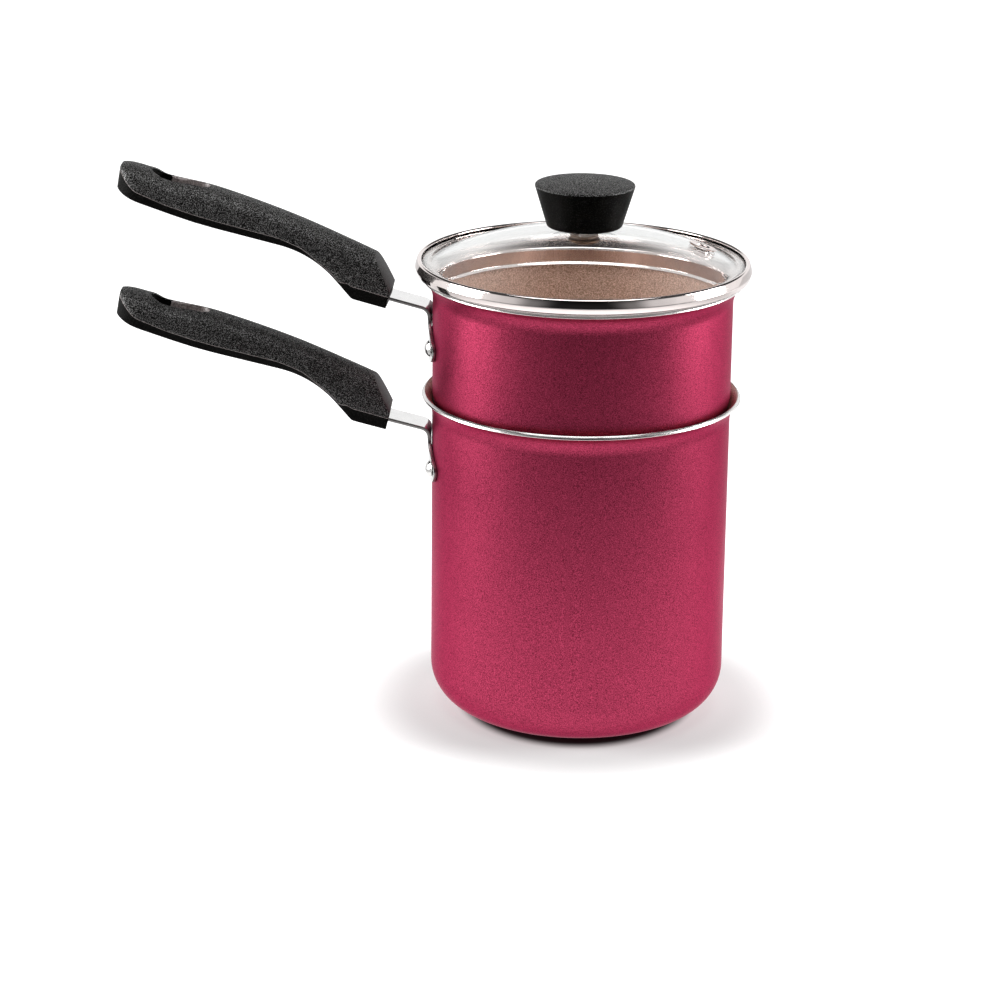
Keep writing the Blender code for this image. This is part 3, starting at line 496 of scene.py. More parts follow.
def smooth_moulding():
    """Black phenolic as it leaves a polished mould."""
    look = Look("smooth_moulding", (0.003, 0.0027, 0.0024), 0.42, Specular_IOR_Level=0.03)
    haze = look.noise(4 * MM, 3.0, 0.6)
    grain = look.noise(0.6 * MM, 2.0, 0.6)
    look.to("Base Color", look.shade(grain, 0.5, 0.66, (0.0008, 0.0007, 0.0005), (0.012, 0.0115, 0.011)))
    look.rough(haze, 0.3, 0.7, 0.36, 0.48)
    look.relief(grain, 0.06 * MM)
    return look.material


def facet_moulding():
    """Satin nose facet, where the mould is rubbed."""
    look = Look("satin_moulding", (0.03, 0.029, 0.028), 0.5, Specular_IOR_Level=0.2)
    grain = look.noise(0.6 * MM, 2.0, 0.6)
    look.to("Base Color", look.shade(grain, 0.45, 0.65, (0.012, 0.0115, 0.011), (0.12, 0.118, 0.116)))
    look.rough(grain, 0.3, 0.7, 0.42, 0.6)
    look.relief(grain, 0.04 * MM)
    return look.material


def painted_highlight_moulding():
    """Bright moulding, a painted highlight on the hanging slot's scoop and on the thin flash along the ridge.
    """
    look = Look("painted_highlight_moulding", (0.16, 0.135, 0.13), 0.38, Specular_IOR_Level=0.8)
    haze = look.noise(0.7 * MM, 2.0, 0.6)
    look.to("Base Color", look.shade(haze, 0.4, 0.6, (0.17, 0.142, 0.138), (0.40, 0.345, 0.335)))
    look.rough(haze, 0.3, 0.7, 0.3, 0.45)
    return look.material


def clear_glass():
    """Tempered glass with a faint wave."""
    look = Look("clear_glass", (0.98, 0.99, 0.985), 0.0, Transmission_Weight=1.0, IOR=1.5)
    look.relief(look.noise(30 * MM, 1.0), 0.006 * MM)
    return look.material


def rubber():
    """Brown silicone."""
    look = Look("silicone", (0.09, 0.058, 0.040), 0.5)
    haze = look.noise(2 * MM, 2.0, 0.6)
    look.to("Base Color", look.shade(haze, 0.3, 0.7, (0.10, 0.062, 0.044), (0.17, 0.108, 0.078)))
    look.relief(haze, 0.02 * MM)
    return look.material


def brass():
    """Turned brass."""
    look = Look("turned_brass", (0.62, 0.43, 0.16), 0.25, 1.0)
    lines = look.noise(0.3 * MM, 1.0, 0.5, look.stretch(0.05, 0.05, 1.0))
    look.to("Base Color", look.shade(lines, 0.3, 0.7, (0.50, 0.34, 0.12), (0.70, 0.50, 0.20)))
    look.rough(lines, 0.3, 0.7, 0.2, 0.36)
    return look.material


def disc_sheet():
    """Rolled aluminium sheet."""
    look = Look("rolled_aluminium", (0.72, 0.72, 0.72), 0.35, 1.0)
    roll = look.noise(0.6 * MM, 2.0, 0.5, look.stretch(0.04, 1.0, 1.0))
    look.to("Base Color", look.shade(roll, 0.3, 0.7, (0.62, 0.62, 0.62), (0.80, 0.80, 0.80)))
    look.rough(roll, 0.3, 0.7, 0.28, 0.42)
    look.relief(roll, 0.006 * MM)
    return look.material


ENAMEL = enamel()
COATING = coating()
EDGE = bare_edge()
BASE = spun_base()
STEEL = steel("bright_steel", 0.08, (0.89, 0.885, 0.88))
# The pink tint of the band and eyelet steel is a painted pink reflection; the other steels are grey.
BAND_STEEL = steel("band_steel", 0.06, (0.87, 0.79, 0.77))
EYELET_STEEL = steel("eyelet_steel", 0.2, (0.86, 0.77, 0.75))
# Dark brown screw steel: painted reflection of the brown coating round it.
SCREW_STEEL = steel("brown_reflection_steel", 0.34, (0.12, 0.082, 0.058))
RIVET_STEEL = steel("rivet_steel", 0.14, (0.74, 0.73, 0.72))
# Dull dark steel for the brackets' cut sheet edges, and painted shade on the band's foot bend and the
# brackets' bend.
CUT_EDGE_AND_SHADE_STEEL = steel("cut_edge_and_shade_steel", 0.32, (0.30, 0.29, 0.285))
GRAINED = grained_moulding()
SMOOTH = smooth_moulding()
SATIN = facet_moulding()
PAINTED_HIGHLIGHT_MOULDING = painted_highlight_moulding()
GLASS = clear_glass()
RUBBER = rubber()
BRASS = brass()
ALUMINIUM = disc_sheet()

# A face's place in its piece's list of looks.
ENAMELLED, COATED, TRIMMED, SPUN = range(4)
CAP, SIDE, FACET, FLASH_HIGHLIGHT = range(4)


# Vessels


def vessel_outline(points, base_radius=0.0):
    """Outline of a sheet wall: coating on the left of its middle line, bare end, enamel on the right."""
    inside = offset(points, WALL / 2)
    outside = offset(points, -WALL / 2)
    end_in = Vector(inside[-1])
    end_out = Vector(outside[-1])
    along = (end_in - Vector(inside[-2])).normalized() * EDGE_BREAK
    across = (end_out - end_in).normalized() * EDGE_BREAK
    outline = [(*p, COATED) for p in inside[:-1]]
    for p in (end_in - along, end_in - along * 0.3 + across * 0.3, end_in + across, end_out - across,
              end_out - along * 0.3 - across * 0.3):
        outline.append((*p, TRIMMED))
    outline.append((*(end_out - along), ENAMELLED))
    for radius, height in reversed(outside[:-1]):
        flat = height < WALL and radius <= base_radius + 1e-6
        outline.append((radius, height, SPUN if flat else ENAMELLED))
    return outline


def build_cooking_pot():
    middle = Path(0.0, WALL / 2)
    middle.out_to(BARE_BASE)
    middle.out_to(BODY_RADIUS - BASE_CORNER)
    middle.bend(BASE_CORNER - WALL / 2, pi / 2)
    middle.up_to(POT_HEIGHT - FLARE_HEIGHT)
    middle.bend(FLARE_RADIUS + WALL / 2, -FLARE_ANGLE)
    pot = lathe("pot_body", vessel_outline(middle.points, BARE_BASE), (ENAMEL, COATING, EDGE, BASE))
    dress(pot, "root", "coated_metal", "cooking_pot")


def build_steamer_pot():
    """From the ledge's edge out to the neck, over the shoulder that rests in the pot's flare, to the rim."""
    reach = FLARE_RADIUS + SHOULDER_RADIUS
    shoulder_top = sqrt((reach + WALL + GAP) ** 2 - reach ** 2) - FLARE_HEIGHT
    bends = SHOULDER_RADIUS + SHOULDER_FILLET
    shoulder_angle = acos(1 - (WALL + NECK_CLEARANCE) / bends)
    middle = Path(NECK_INSIDE - LEDGE_WIDTH, POT_HEIGHT - NECK_DEPTH + WALL / 2)
    middle.out_to(NECK_MIDDLE - NECK_CORNER + WALL / 2)
    middle.bend(NECK_CORNER - WALL / 2, pi / 2, radians(15))
    middle.up_to(POT_HEIGHT + shoulder_top - bends * sin(shoulder_angle))
    middle.bend(SHOULDER_FILLET + WALL / 2, -shoulder_angle)
    middle.bend(SHOULDER_RADIUS - WALL / 2, shoulder_angle)
    middle.up_to(STEAMER_RIM - FLARE_HEIGHT)
    middle.bend(FLARE_RADIUS + WALL / 2, -FLARE_ANGLE)
    outline = vessel_outline(middle.points)
    start = Vector(middle.points[0])
    outline += [(start.x + WALL / 2 * cos(t), start.y + WALL / 2 * sin(t), TRIMMED)
                for t in (-pi * 0.6, -pi * 0.75, -pi, pi * 0.75, pi * 0.6)]
    steamer = lathe("steamer_body", outline, (ENAMEL, COATING, EDGE), closed=True)
    dress(steamer, "steamer", "coated_metal", "steamer_pot")


def build_disc():
    low = POT_HEIGHT - NECK_DEPTH + WALL + GAP
    high = low + DISC_THICKNESS
    radius = NECK_INSIDE - DISC_CLEARANCE
    broken = radius - EDGE_BREAK
    outline = [(0, high), (broken, high), (radius, high - EDGE_BREAK),
               (radius, low + EDGE_BREAK), (broken, low), (0, low)]
    disc = lathe("steam_plate", outline, (ALUMINIUM,), 96)
    shape = bmesh.new()
    for ring in range(HOLE_RINGS + 1):
        count = max(1, 6 * ring)
        for number in range(count):
            turn = Matrix.Rotation(2 * pi * (number + 0.5) / count, 4, "Z")
            place = turn @ Matrix.Translation((ring * HOLE_PITCH, 0, (low + high) / 2))
            bmesh.ops.create_cone(shape, cap_ends=True, segments=20, radius1=HOLE_RADIUS, radius2=HOLE_RADIUS,
                                  depth=4 * MM, matrix=place)
    cut(disc, [finish_mesh("holes", shape, (ALUMINIUM,))])
    dress(disc, "disc", "aluminium_sheet", "steam_disc")


# Lid


def glass_path():
    """Middle line of the glass, from its centre hole over the dome to the flat rim."""
    edge = LID_RADIUS - BAND_SHEET - GLASS_EDGE_GAP - GLASS_THICKNESS / 2 * cos(pi / 4)
    start_angle = asin(GLASS_HOLE / DOME_RADIUS)
    rim_angle = asin((edge - GLASS_RIM) / (DOME_RADIUS + GLASS_RIM_FILLET))
    drop = DOME_RADIUS * (cos(start_angle) - cos(rim_angle)) + GLASS_RIM_FILLET * (1 - cos(rim_angle))
    path = Path(GLASS_HOLE, STEAMER_RIM + 2 * GAP + BAND_SHEET + GLASS_THICKNESS / 2 + drop, -start_angle)
    path.bend(DOME_RADIUS, start_angle - rim_angle, radians(0.8))
    path.bend(GLASS_RIM_FILLET, rim_angle, radians(3))
    path.out_to(edge)
    return path


GLASS_MIDDLE = glass_path()
CROWN_HEIGHT = GLASS_MIDDLE.points[0][1]
GLASS_TOP = CROWN_HEIGHT + GLASS_THICKNESS / 2
GLASS_UNDER = CROWN_HEIGHT - GLASS_THICKNESS / 2


def vent_matrix():
    """Middle of the glass at the vent, with Z square to the glass."""
    lean = asin(VENT_DISTANCE / DOME_RADIUS)
    start_angle = asin(GLASS_HOLE / DOME_RADIUS)
    height = CROWN_HEIGHT - DOME_RADIUS * (cos(start_angle) - cos(lean))
    place = Matrix.Rotation(VENT_ANGLE, 4, "Z") @ Matrix.Translation((VENT_DISTANCE, 0, height))
    return place @ Matrix.Rotation(lean, 4, "Y")


def build_glass():
    half = GLASS_THICKNESS / 2
    points = GLASS_MIDDLE.points
    end = Vector(points[-1])
    round_edge = [(end.x + half * cos(t) * 0.7, end.y + half * sin(t))
                  for t in (radians(70 - 14 * i) for i in range(11))]
    outline = offset(points, half) + round_edge + list(reversed(offset(points, -half)))
    glass = lathe("lid_dome", outline, (GLASS,), 192, closed=True)
    reach = 6 * MM
    drill = [(0, reach), (VENT_HOLE, reach), (VENT_HOLE, -reach), (0, -reach)]
    cut(glass, [lathe("bore", drill, (GLASS,), 32, matrix=vent_matrix())])
    glass.visible_shadow = False
    dress(glass, "lid", "clear_glass", "lid_glass")


def build_band():
    """Inward hem, skirt, sloping web, rest for the glass, and a wall that is rolled in over the glass."""
    half = BAND_SHEET / 2
    rim = STEAMER_RIM
    hem, slope = radians(35), radians(27)
    below, above = radians(18), radians(16)
    hem_radius, hem_drop, hem_length, hem_bend = 65.91 * MM, 10.9 * MM, 1.1 * MM, 0.8 * MM
    web_drop, web_bend, crease = 3.7 * MM, 1.3 * MM, 1.0 * MM
    waist_height, bulge = 2.75 * MM, 0.67 * MM
    middle = Path(hem_radius, rim - hem_drop, hem)
    middle.line(hem_length)
    middle.bend(hem_bend, pi / 2 - hem, radians(10))
    middle.up_to(rim - web_drop)
    middle.bend(web_bend, slope - pi / 2, radians(7))
    middle.up_to(rim + GAP + half - 0.1 * MM)
    middle.bend(crease, -slope, radians(7))
    middle.out_to(LID_RADIUS - half - bulge - BAND_SHEET * cos(below))
    rest = len(middle.points)
    middle.bend(BAND_SHEET, pi / 2 - below, radians(12))
    foot = len(middle.points)
    middle.up_to(rim + GAP + waist_height)
    middle.bend(crease, below + above, radians(4))
    middle.up_to(rim + GAP + BAND_HEIGHT - half - BAND_BEAD * (1 - sin(above)))
    middle.bend(BAND_BEAD, pi / 2 + LIP_ANGLE - above, radians(8))
    middle.line(LIP_LENGTH)
    start, end = Vector(middle.points[0]), Vector(middle.points[-1])
    outline = offset(middle.points, half)
    outline += [(end.x + half * cos(middle.heading + t), end.y + half * sin(middle.heading + t))
                for t in (pi / 3, pi / 6, 0, -pi / 6, -pi / 3)]
    # The outer bend at the band's foot takes the dull dark steel: painted shade under the band.
    outline += reversed([(*p, 1 if rest - 1 <= i < foot - 1 else 0)
                         for i, p in enumerate(offset(middle.points, -half))])
    outline += [(start.x + half * cos(hem - t), start.y + half * sin(hem - t))
                for t in (3 * pi / 4, pi, 5 * pi / 4)]
    band = lathe("steel_band", outline, (BAND_STEEL, CUT_EDGE_AND_SHADE_STEEL), 192, closed=True)
    dress(band, "lid", "polished_steel", "lid_band")


def build_ring(name, outer, low, high, look, slot, node, edge=0.2 * MM):
    """A ring round the knob's screw."""
    inner = KNOB_SCREW_RADIUS + GAP
    outline = [(inner, low + edge), (inner, high - edge), (inner + edge, high), (outer - edge, high),
               (outer, high - edge), (outer, low + edge), (outer - edge, low), (inner + edge, low)]
    dress(lathe(name, outline, (look,), 64, closed=True), "lid", slot, node)


def box_cutter(size, matrix, look):
    shape = bmesh.new()
    bmesh.ops.create_cube(shape, size=1.0)
    bmesh.ops.scale(shape, vec=size, verts=shape.verts)
    bmesh.ops.transform(shape, matrix=matrix, verts=shape.verts)
    return finish_mesh("box", shape, (look,))


def cross_cutters(size, place, turn, look):
    """The two slots of a cross recess."""
    return [box_cutter(size, place @ Matrix.Rotation(quarter + turn, 4, "Z"), look)
            for quarter in (0, pi / 2)]


def build_knob():
    """Knob, grained above and smooth below. It gives the height of its underside."""
    foot = GLASS_TOP + 2 * GAP + GASKET_THICKNESS
    crown_radius = (KNOB_TOP_RADIUS ** 2 + KNOB_CROWN ** 2) / (2 * KNOB_CROWN)
    crown_angle = asin((KNOB_TOP_RADIUS - KNOB_EDGE) / crown_radius)
    taper = atan2(KNOB_TOP_RADIUS - KNOB_FOOT_RADIUS, KNOB_HEIGHT)
    path = Path(0.0, foot + KNOB_HEIGHT + KNOB_CROWN)
    path.bend(crown_radius, -crown_angle, radians(0.6))
    path.bend(KNOB_EDGE, crown_angle - pi / 2 - taper, radians(9))
    grained = len(path.points) - 2
    path.up_to(foot + KNOB_FOOT_EDGE * (1 - sin(taper)))
    path.bend(KNOB_FOOT_EDGE, taper - pi / 2, radians(9))
    under = path.points[-1][1]
    path.out_to(INSERT_RADIUS + GAP)
    path.turn(-pi / 2)
    path.up_to(under + INSERT_LENGTH + 2 * GAP)
    path.turn(pi / 2)
    path.out_to(0.0)
    outline = [(*p, 0 if i < grained else 1) for i, p in enumerate(path.points)]
    dress(lathe("knob", outline, (GRAINED, SMOOTH), 128), "lid", "black_moulding", "lid_knob")
    return under


def build_knob_fittings(under):
    """Insert, gaskets and screw, for a knob whose underside is at the height."""
    insert_low = under + GAP
    gasket_top = GLASS_UNDER - GAP
    gasket_low = gasket_top - UNDER_GASKET_THICKNESS
    build_ring("insert", INSERT_RADIUS, insert_low, insert_low + INSERT_LENGTH, BRASS, "insert_brass",
               "knob_insert")
    build_ring("upper_gasket", GASKET_RADIUS, GLASS_TOP + GAP, under - GAP, RUBBER, "silicone",
               "knob_gasket", 0.4 * MM)
    build_ring("lower_gasket", UNDER_GASKET_RADIUS, gasket_low, gasket_top, RUBBER, "silicone",
               "glass_gasket")
    head_top = gasket_low - GAP
    radius, head, edge = KNOB_SCREW_HEAD_RADIUS, KNOB_SCREW_HEAD_HEIGHT, 0.2 * MM
    dome = head * 2 / 3
    crown = (radius ** 2 + dome ** 2) / (2 * dome)
    angle = asin(radius / crown)
    path = Path(0.0, insert_low + KNOB_SCREW_GRIP)
    path.out_to(KNOB_SCREW_RADIUS - 0.4 * MM)
    path.points.append((KNOB_SCREW_RADIUS, insert_low + KNOB_SCREW_GRIP - 0.6 * MM))
    path.turn(-pi / 2)
    path.up_to(head_top)
    path.turn(pi / 2)
    path.out_to(radius - edge)
    path.points.append((radius, head_top - edge))
    path.turn(-pi / 2)
    path.up_to(head_top - head / 3)
    path.turn(angle - pi / 2)
    path.bend(crown, -angle, radians(2))
    path.points[-1] = (0.0, path.points[-1][1])
    screw = lathe("knob_bolt", path.points, (SCREW_STEEL,), 64)
    place = Matrix.Translation((0, 0, head_top - head))
    cut(screw, cross_cutters((5.2 * MM, 1.1 * MM, 2.4 * MM), place, 0.5, SCREW_STEEL))
    dress(screw, "lid", "rivet_steel", "knob_screw")


def build_vent():
    """Eyelet with its head over the glass and its barrel turned out under a washer."""
    half, edge = VENT_SHEET / 2, 0.15 * MM
    washer_top = -GLASS_THICKNESS / 2 - GAP
    washer_low = washer_top - VENT_WASHER_THICKNESS
    middle = Path(VENT_ROLL, washer_low - GAP - half, pi)
    middle.out_to(VENT_BORE + half + VENT_SHEET)
    middle.bend(VENT_SHEET, -pi / 2, radians(15))
    middle.up_to(GLASS_THICKNESS / 2 + 2 * GAP + half - VENT_SHEET)
    middle.bend(VENT_SHEET, -pi / 2, radians(15))
    middle.out_to(VENT_FLANGE - half)
    middle.bend(VENT_SHEET, -radians(40), radians(10))
    outline = offset(middle.points, half) + list(reversed(offset(middle.points, -half)))
    eyelet = lathe("eyelet", outline, (EYELET_STEEL,), 64, closed=True, matrix=vent_matrix())
    dress(eyelet, "lid", "polished_steel", "vent_eyelet")
    inner, outer = VENT_BORE + VENT_SHEET + GAP, VENT_FLANGE
    outline = [(inner, washer_low), (inner, washer_top), (outer - edge, washer_top),
               (outer, washer_top - edge), (outer, washer_low + edge), (outer - edge, washer_low)]
    washer = lathe("eyelet_washer", outline, (EYELET_STEEL,), 64, closed=True, matrix=vent_matrix())
    dress(washer, "lid", "polished_steel", "vent_washer")


# Brackets and rivets


def strap_height(distance):
    return STRAP_ROOT + (distance - LEG_DISTANCE) * tan(STRAP_RISE)


def strap_matrix(distance, rivets):
    """A place on the strap's middle, with X outward along it and Z up from it."""
    place = Matrix.Translation((-BODY_RADIUS - distance, 0, rivets + strap_height(distance)))
    return place @ Matrix.Rotation(pi, 4, "Z") @ Matrix.Rotation(-STRAP_RISE, 4, "Y")


def plate_half_width(height):
    wide = RIVET_SPREAD + PLATE_LOBE
    if height < 0:
        return RIVET_SPREAD + sqrt(max(PLATE_LOBE ** 2 - height ** 2, 0.0))
    if height < PLATE_NECK:
        return wide + (STRAP_WIDTH / 2 - wide) * soft_step(height / PLATE_NECK)
    return STRAP_WIDTH / 2


def build_bracket(prefix, body, rivets):
    """Rows of the sheet, from the plate's lower edge up the leg, round the bend and out along the strap."""
    bend_angle = pi / 2 - STRAP_RISE
    bend_start = STRAP_ROOT - BRACKET_BEND * tan(bend_angle / 2)
    side = Path(LEG_DISTANCE, bend_start, pi / 2)
    side.bend(BRACKET_BEND, -bend_angle, radians(5))
    for i in range(1, 9):
        side.out_to(side.points[-1][0] + (STRAP_REACH - side.points[-1][0]) * i / 8)
    plate = [-PLATE_LOBE * cos(pi / 2 * i / 12) for i in range(13)]
    plate += [PLATE_NECK * i / 14 for i in range(1, 15)]
    rows = [(LEG_DISTANCE, height) for height in plate] + side.points
    # Most of the bend, from the leg up, takes the dull dark steel: painted shade.
    bend_rows = range(len(plate) + 1, len(rows) - 13)
    count = 32
    wrap_radius = BODY_RADIUS + LEG_DISTANCE
    shape = bmesh.new()
    grid = []
    for distance, height in rows:
        half = plate_half_width(height)
        wrap = 1 - min(max((height - PLATE_LOBE) / (bend_start - PLATE_LOBE), 0.0), 1.0)
        line = []
        for i in range(count + 1):
            across = half * (2 * i / count - 1)
            angle = across / wrap_radius
            hollow = wrap * wrap_radius * (1 - cos(angle))
            spread = wrap * wrap_radius * sin(angle) + (1 - wrap) * across
            line.append(shape.verts.new((hollow - BODY_RADIUS - distance, spread, rivets + height)))
        grid.append(line)
    for row, (low, high) in enumerate(zip(grid, grid[1:]), 1):
        for i in range(count):
            face = shape.faces.new((low[i], high[i], high[i + 1], low[i + 1]))
            face.material_index = 1 if row in bend_rows else 0
    bracket = finish_mesh(prefix + "_strap", shape, (STEEL, CUT_EDGE_AND_SHADE_STEEL))
    solidify = bracket.modifiers.new("sheet", "SOLIDIFY")
    solidify.thickness = BRACKET_SHEET
    solidify.offset = 0.0
    solidify.material_offset_rim = 1
    bevel_edges(bracket, 0.3 * MM, radians(50))
    take_modifiers(bracket, 35)
    dress(bracket, body, "polished_steel", prefix + "_bracket")


def build_rivets(prefix, body, rivets):
    head_low = GAP + BRACKET_SHEET + GAP
    radius, tall = RIVET_HEAD_RADIUS, RIVET_HEAD_HEIGHT
    ball = (radius ** 2 + tall ** 2) / (2 * tall)
    inner_top = -WALL - 2 * GAP
    inner_low = inner_top - RIVET_INNER_HEIGHT
    path = Path(0.0, head_low + tall)
    path.bend(ball, -asin(radius / ball) * 0.97, radians(4))
    outline = path.points + [
        (radius, head_low + 0.1 * MM), (radius - 0.15 * MM, head_low), (RIVET_SHANK, head_low),
        (RIVET_SHANK, inner_top), (RIVET_INNER_RADIUS - 0.2 * MM, inner_top),
        (RIVET_INNER_RADIUS, inner_top - 0.2 * MM), (RIVET_INNER_RADIUS, inner_top - 0.6 * MM),
        (RIVET_INNER_RADIUS - 0.4 * MM, inner_top - 0.95 * MM), (2.8 * MM, inner_low), (0.0, inner_low)]
    angle = RIVET_SPREAD / (BODY_RADIUS + LEG_DISTANCE)
    for ending, turn in (("_left", -angle), ("_right", angle)):
        place = Matrix.Rotation(turn, 4, "Z") @ Matrix.Translation((-BODY_RADIUS, 0, rivets))
        matrix = place @ Matrix.Rotation(-pi / 2, 4, "Y")
        rivet = lathe(prefix + "_stud" + ending, outline, (RIVET_STEEL,), 48, matrix=matrix)
        dress(rivet, body, "rivet_steel", prefix + "_rivet" + ending)


# Handles


def in_metres(points):
    return [tuple(value * MM for value in point) for point in points]


FOOT_LINE = rounded(in_metres(UNDERSIDE))
RIDGE_LINE = in_metres(RIDGE_LIFT)
WIDTH_LINE = in_metres(HALF_WIDTH)
DIP_LINE = in_metres(CROWN_DIP)


def crown_height(distance):
    start = sin(CROWN_SLOPE)
    here = start - (distance - CROWN_POINT[0]) / CROWN_RADIUS
    return CROWN_POINT[1] + CROWN_RADIUS * (sqrt(1 - here * here) - sqrt(1 - start * start))


def handle_section(distance):
    """Section with its foot, drafted side, ridge and grained cap. Each point has its look."""
    rounding = max(0.0, (distance - HANDLE_END + TIP_LENGTH) / TIP_LENGTH)
    half = value_at(WIDTH_LINE, distance, True) * sqrt(1 - TIP_NARROWING * rounding ** 2.4)
    low = value_at(FOOT_LINE, distance) + TIP_LIFT * rounding ** 3
    top = crown_height(distance) - TIP_DROP * rounding ** 3
    if DIP_LINE[0][0] < distance < DIP_LINE[-1][0]:
        top -= value_at(DIP_LINE, distance, True)
    ridge = min(low + value_at(RIDGE_LINE, distance, True), top - 2 * MM)
    foot = half - DRAFT - UNDER_EDGE
    side = [(foot, low)]
    for i in range(1, 5):
        angle = pi / 2 * i / 4
        side.append((foot + UNDER_EDGE * sin(angle), low + UNDER_EDGE * (1 - cos(angle)) * 0.7))
    side.append((half - DRAFT * 0.5, (low + ridge) / 2))
    side.append((half - FLASH_INSET, ridge - FLASH_HEIGHT))
    points = [(across, height, SIDE) for across, height in side]
    for i in range(CAP_STEPS + 1):
        angle = pi * i / CAP_STEPS
        spread = abs(cos(angle)) ** SECTION_POWER * (1 if cos(angle) >= 0 else -1)
        points.append((half * spread, ridge + (top - ridge) * sin(angle) ** SECTION_POWER, CAP))
    points += [(-across, height, SIDE) for across, height in reversed(side)]
    # The strip at the ridge takes the bright moulding: a painted highlight along the flash.
    for index in (len(side) - 1, len(side) + CAP_STEPS):
        points[index] = (*points[index][:2], FLASH_HIGHLIGHT)
    return points


def slice_off(shape, point, normal, look):
    """Cut off what lies beyond a plane, and close the cut with a face of the look."""
    everything = shape.verts[:] + shape.edges[:] + shape.faces[:]
    bmesh.ops.bisect_plane(shape, geom=everything, dist=1e-6, plane_co=point, plane_no=normal,
                           clear_outer=True)
    rim = [edge for edge in shape.edges if edge.is_boundary]
    made = bmesh.ops.contextual_create(shape, geom=rim)
    for face in made["faces"]:
        face.material_index = look
    bmesh.ops.remove_doubles(shape, verts=shape.verts, dist=0.08 * MM)


def crown_matrix(distance, rivets):
    """A place on the handle's crown, with X outward along it and Z up from it."""
    slope = asin(sin(CROWN_SLOPE) - (distance - CROWN_POINT[0]) / CROWN_RADIUS)
    place = Matrix.Translation((-BODY_RADIUS - distance, 0, rivets + crown_height(distance)))
    return place @ Matrix.Rotation(pi, 4, "Z") @ Matrix.Rotation(-slope, 4, "Y")


def slot_cutter(rivets):
    """Long hole with round ends. Its upper part is painted bright as a highlight, but for the end near the
    tip.
    """
    radius = SLOT_HALF_WIDTH
    half = (SLOT_END - SLOT_START) / 2 - radius
    bright_end = 5.5 * MM
    shape = bmesh.new()
    rings = []
    for depth in (-40 * MM, -4.9 * MM, 20 * MM):
        ring = []
        for end in (1, -1):
            for i in range(17):
                angle = -pi / 2 + pi * i / 16
                across, aside = half + radius * cos(angle), radius * sin(angle)
                ring.append(shape.verts.new((end * across, end * aside, depth)))
        ring.append(shape.verts.new((bright_end, -radius, depth)))
        ring.insert(17, shape.verts.new((bright_end, radius, depth)))
        rings.append(ring)
    for low, high, look in zip(rings, rings[1:], (0, 1)):
        for i in range(len(low)):
            j = (i + 1) % len(low)
            face = shape.faces.new((low[i], low[j], high[j], high[i]))
            if face.calc_center_median().x < bright_end:
                face.material_index = look
    shape.faces.new(rings[0])
    shape.faces.new(rings[-1])
    bmesh.ops.transform(shape, matrix=crown_matrix((SLOT_START + SLOT_END) / 2, rivets), verts=shape.verts)
    return finish_mesh("slot", shape, (SMOOTH, PAINTED_HIGHLIGHT_MOULDING))


def scoop_cutter(rivets):
    """Hollow round the slot's mouth, painted bright as a highlight but for the end near the tip."""
    tall = 2.2 * SCOOP_DEPTH
    shape = bmesh.new()
    bmesh.ops.create_uvsphere(shape, u_segments=64, v_segments=40, radius=1.0)
    bmesh.ops.scale(shape, vec=(SCOOP_LENGTH, SCOOP_HALF_WIDTH, tall), verts=shape.verts)
    for face in shape.faces:
        face.material_index = 0 if face.calc_center_median().x < 6 * MM else 1
    place = crown_matrix(SCOOP_DISTANCE, rivets) @ Matrix.Translation((0, 0, tall - SCOOP_DEPTH))
    place = place @ Matrix.Rotation(radians(12.5), 4, "Y")
    bmesh.ops.transform(shape, matrix=place, verts=shape.verts)
    return finish_mesh("scoop", shape, (PAINTED_HIGHLIGHT_MOULDING, SMOOTH))


def grip_shape(rivets):
    """Sections from nose to tip, joined, with the nose cut square to the strap and by the facet."""
    tip_start = HANDLE_END - TIP_LENGTH
    distances = [8 * MM + 2.0 * MM * i for i in range(12)]
    distances += [32 * MM + 1.1 * MM * i for i in range(30)]
    distances += [65.5 * MM + 1.6 * MM * i for i in range(43)]
    distances += [tip_start + TIP_LENGTH * sin(pi / 2 * i / 14) for i in range(15)]
    shape = bmesh.new()
    rings = []
    for distance in distances:
        section = handle_section(distance)
        lean = tan(TIP_LEAN) * max(0.0, (distance - tip_start) / TIP_LENGTH)
        foot = section[0][1]
        ring = []
        for across, height, _ in section:
            out = -BODY_RADIUS - distance + lean * (height - foot)
            ring.append(shape.verts.new((out, across, rivets + height)))
        rings.append(ring)
    looks = [look for _, _, look in section]
    count = len(looks)
    for near, far in zip(rings, rings[1:]):
        for i in range(count):
            after = (i + 1) % count
            shape.faces.new((near[i], near[after], far[after], far[i])).material_index = looks[i]
    shape.faces.new(rings[0]).material_index = SIDE
    shape.faces.new(rings[-1]).material_index = SIDE
    nose = strap_matrix(NOSE_DISTANCE, rivets).translation
    slice_off(shape, nose, (cos(STRAP_RISE), 0, -sin(STRAP_RISE)), SIDE)
    facet = Vector((-BODY_RADIUS - NOSE_TOP[0], 0, rivets + NOSE_TOP[1]))
    normal = Vector((CROWN_POINT[1] - NOSE_TOP[1], 0, CROWN_POINT[0] - NOSE_TOP[0])).normalized()
    slice_off(shape, facet, normal, FACET)
    return shape


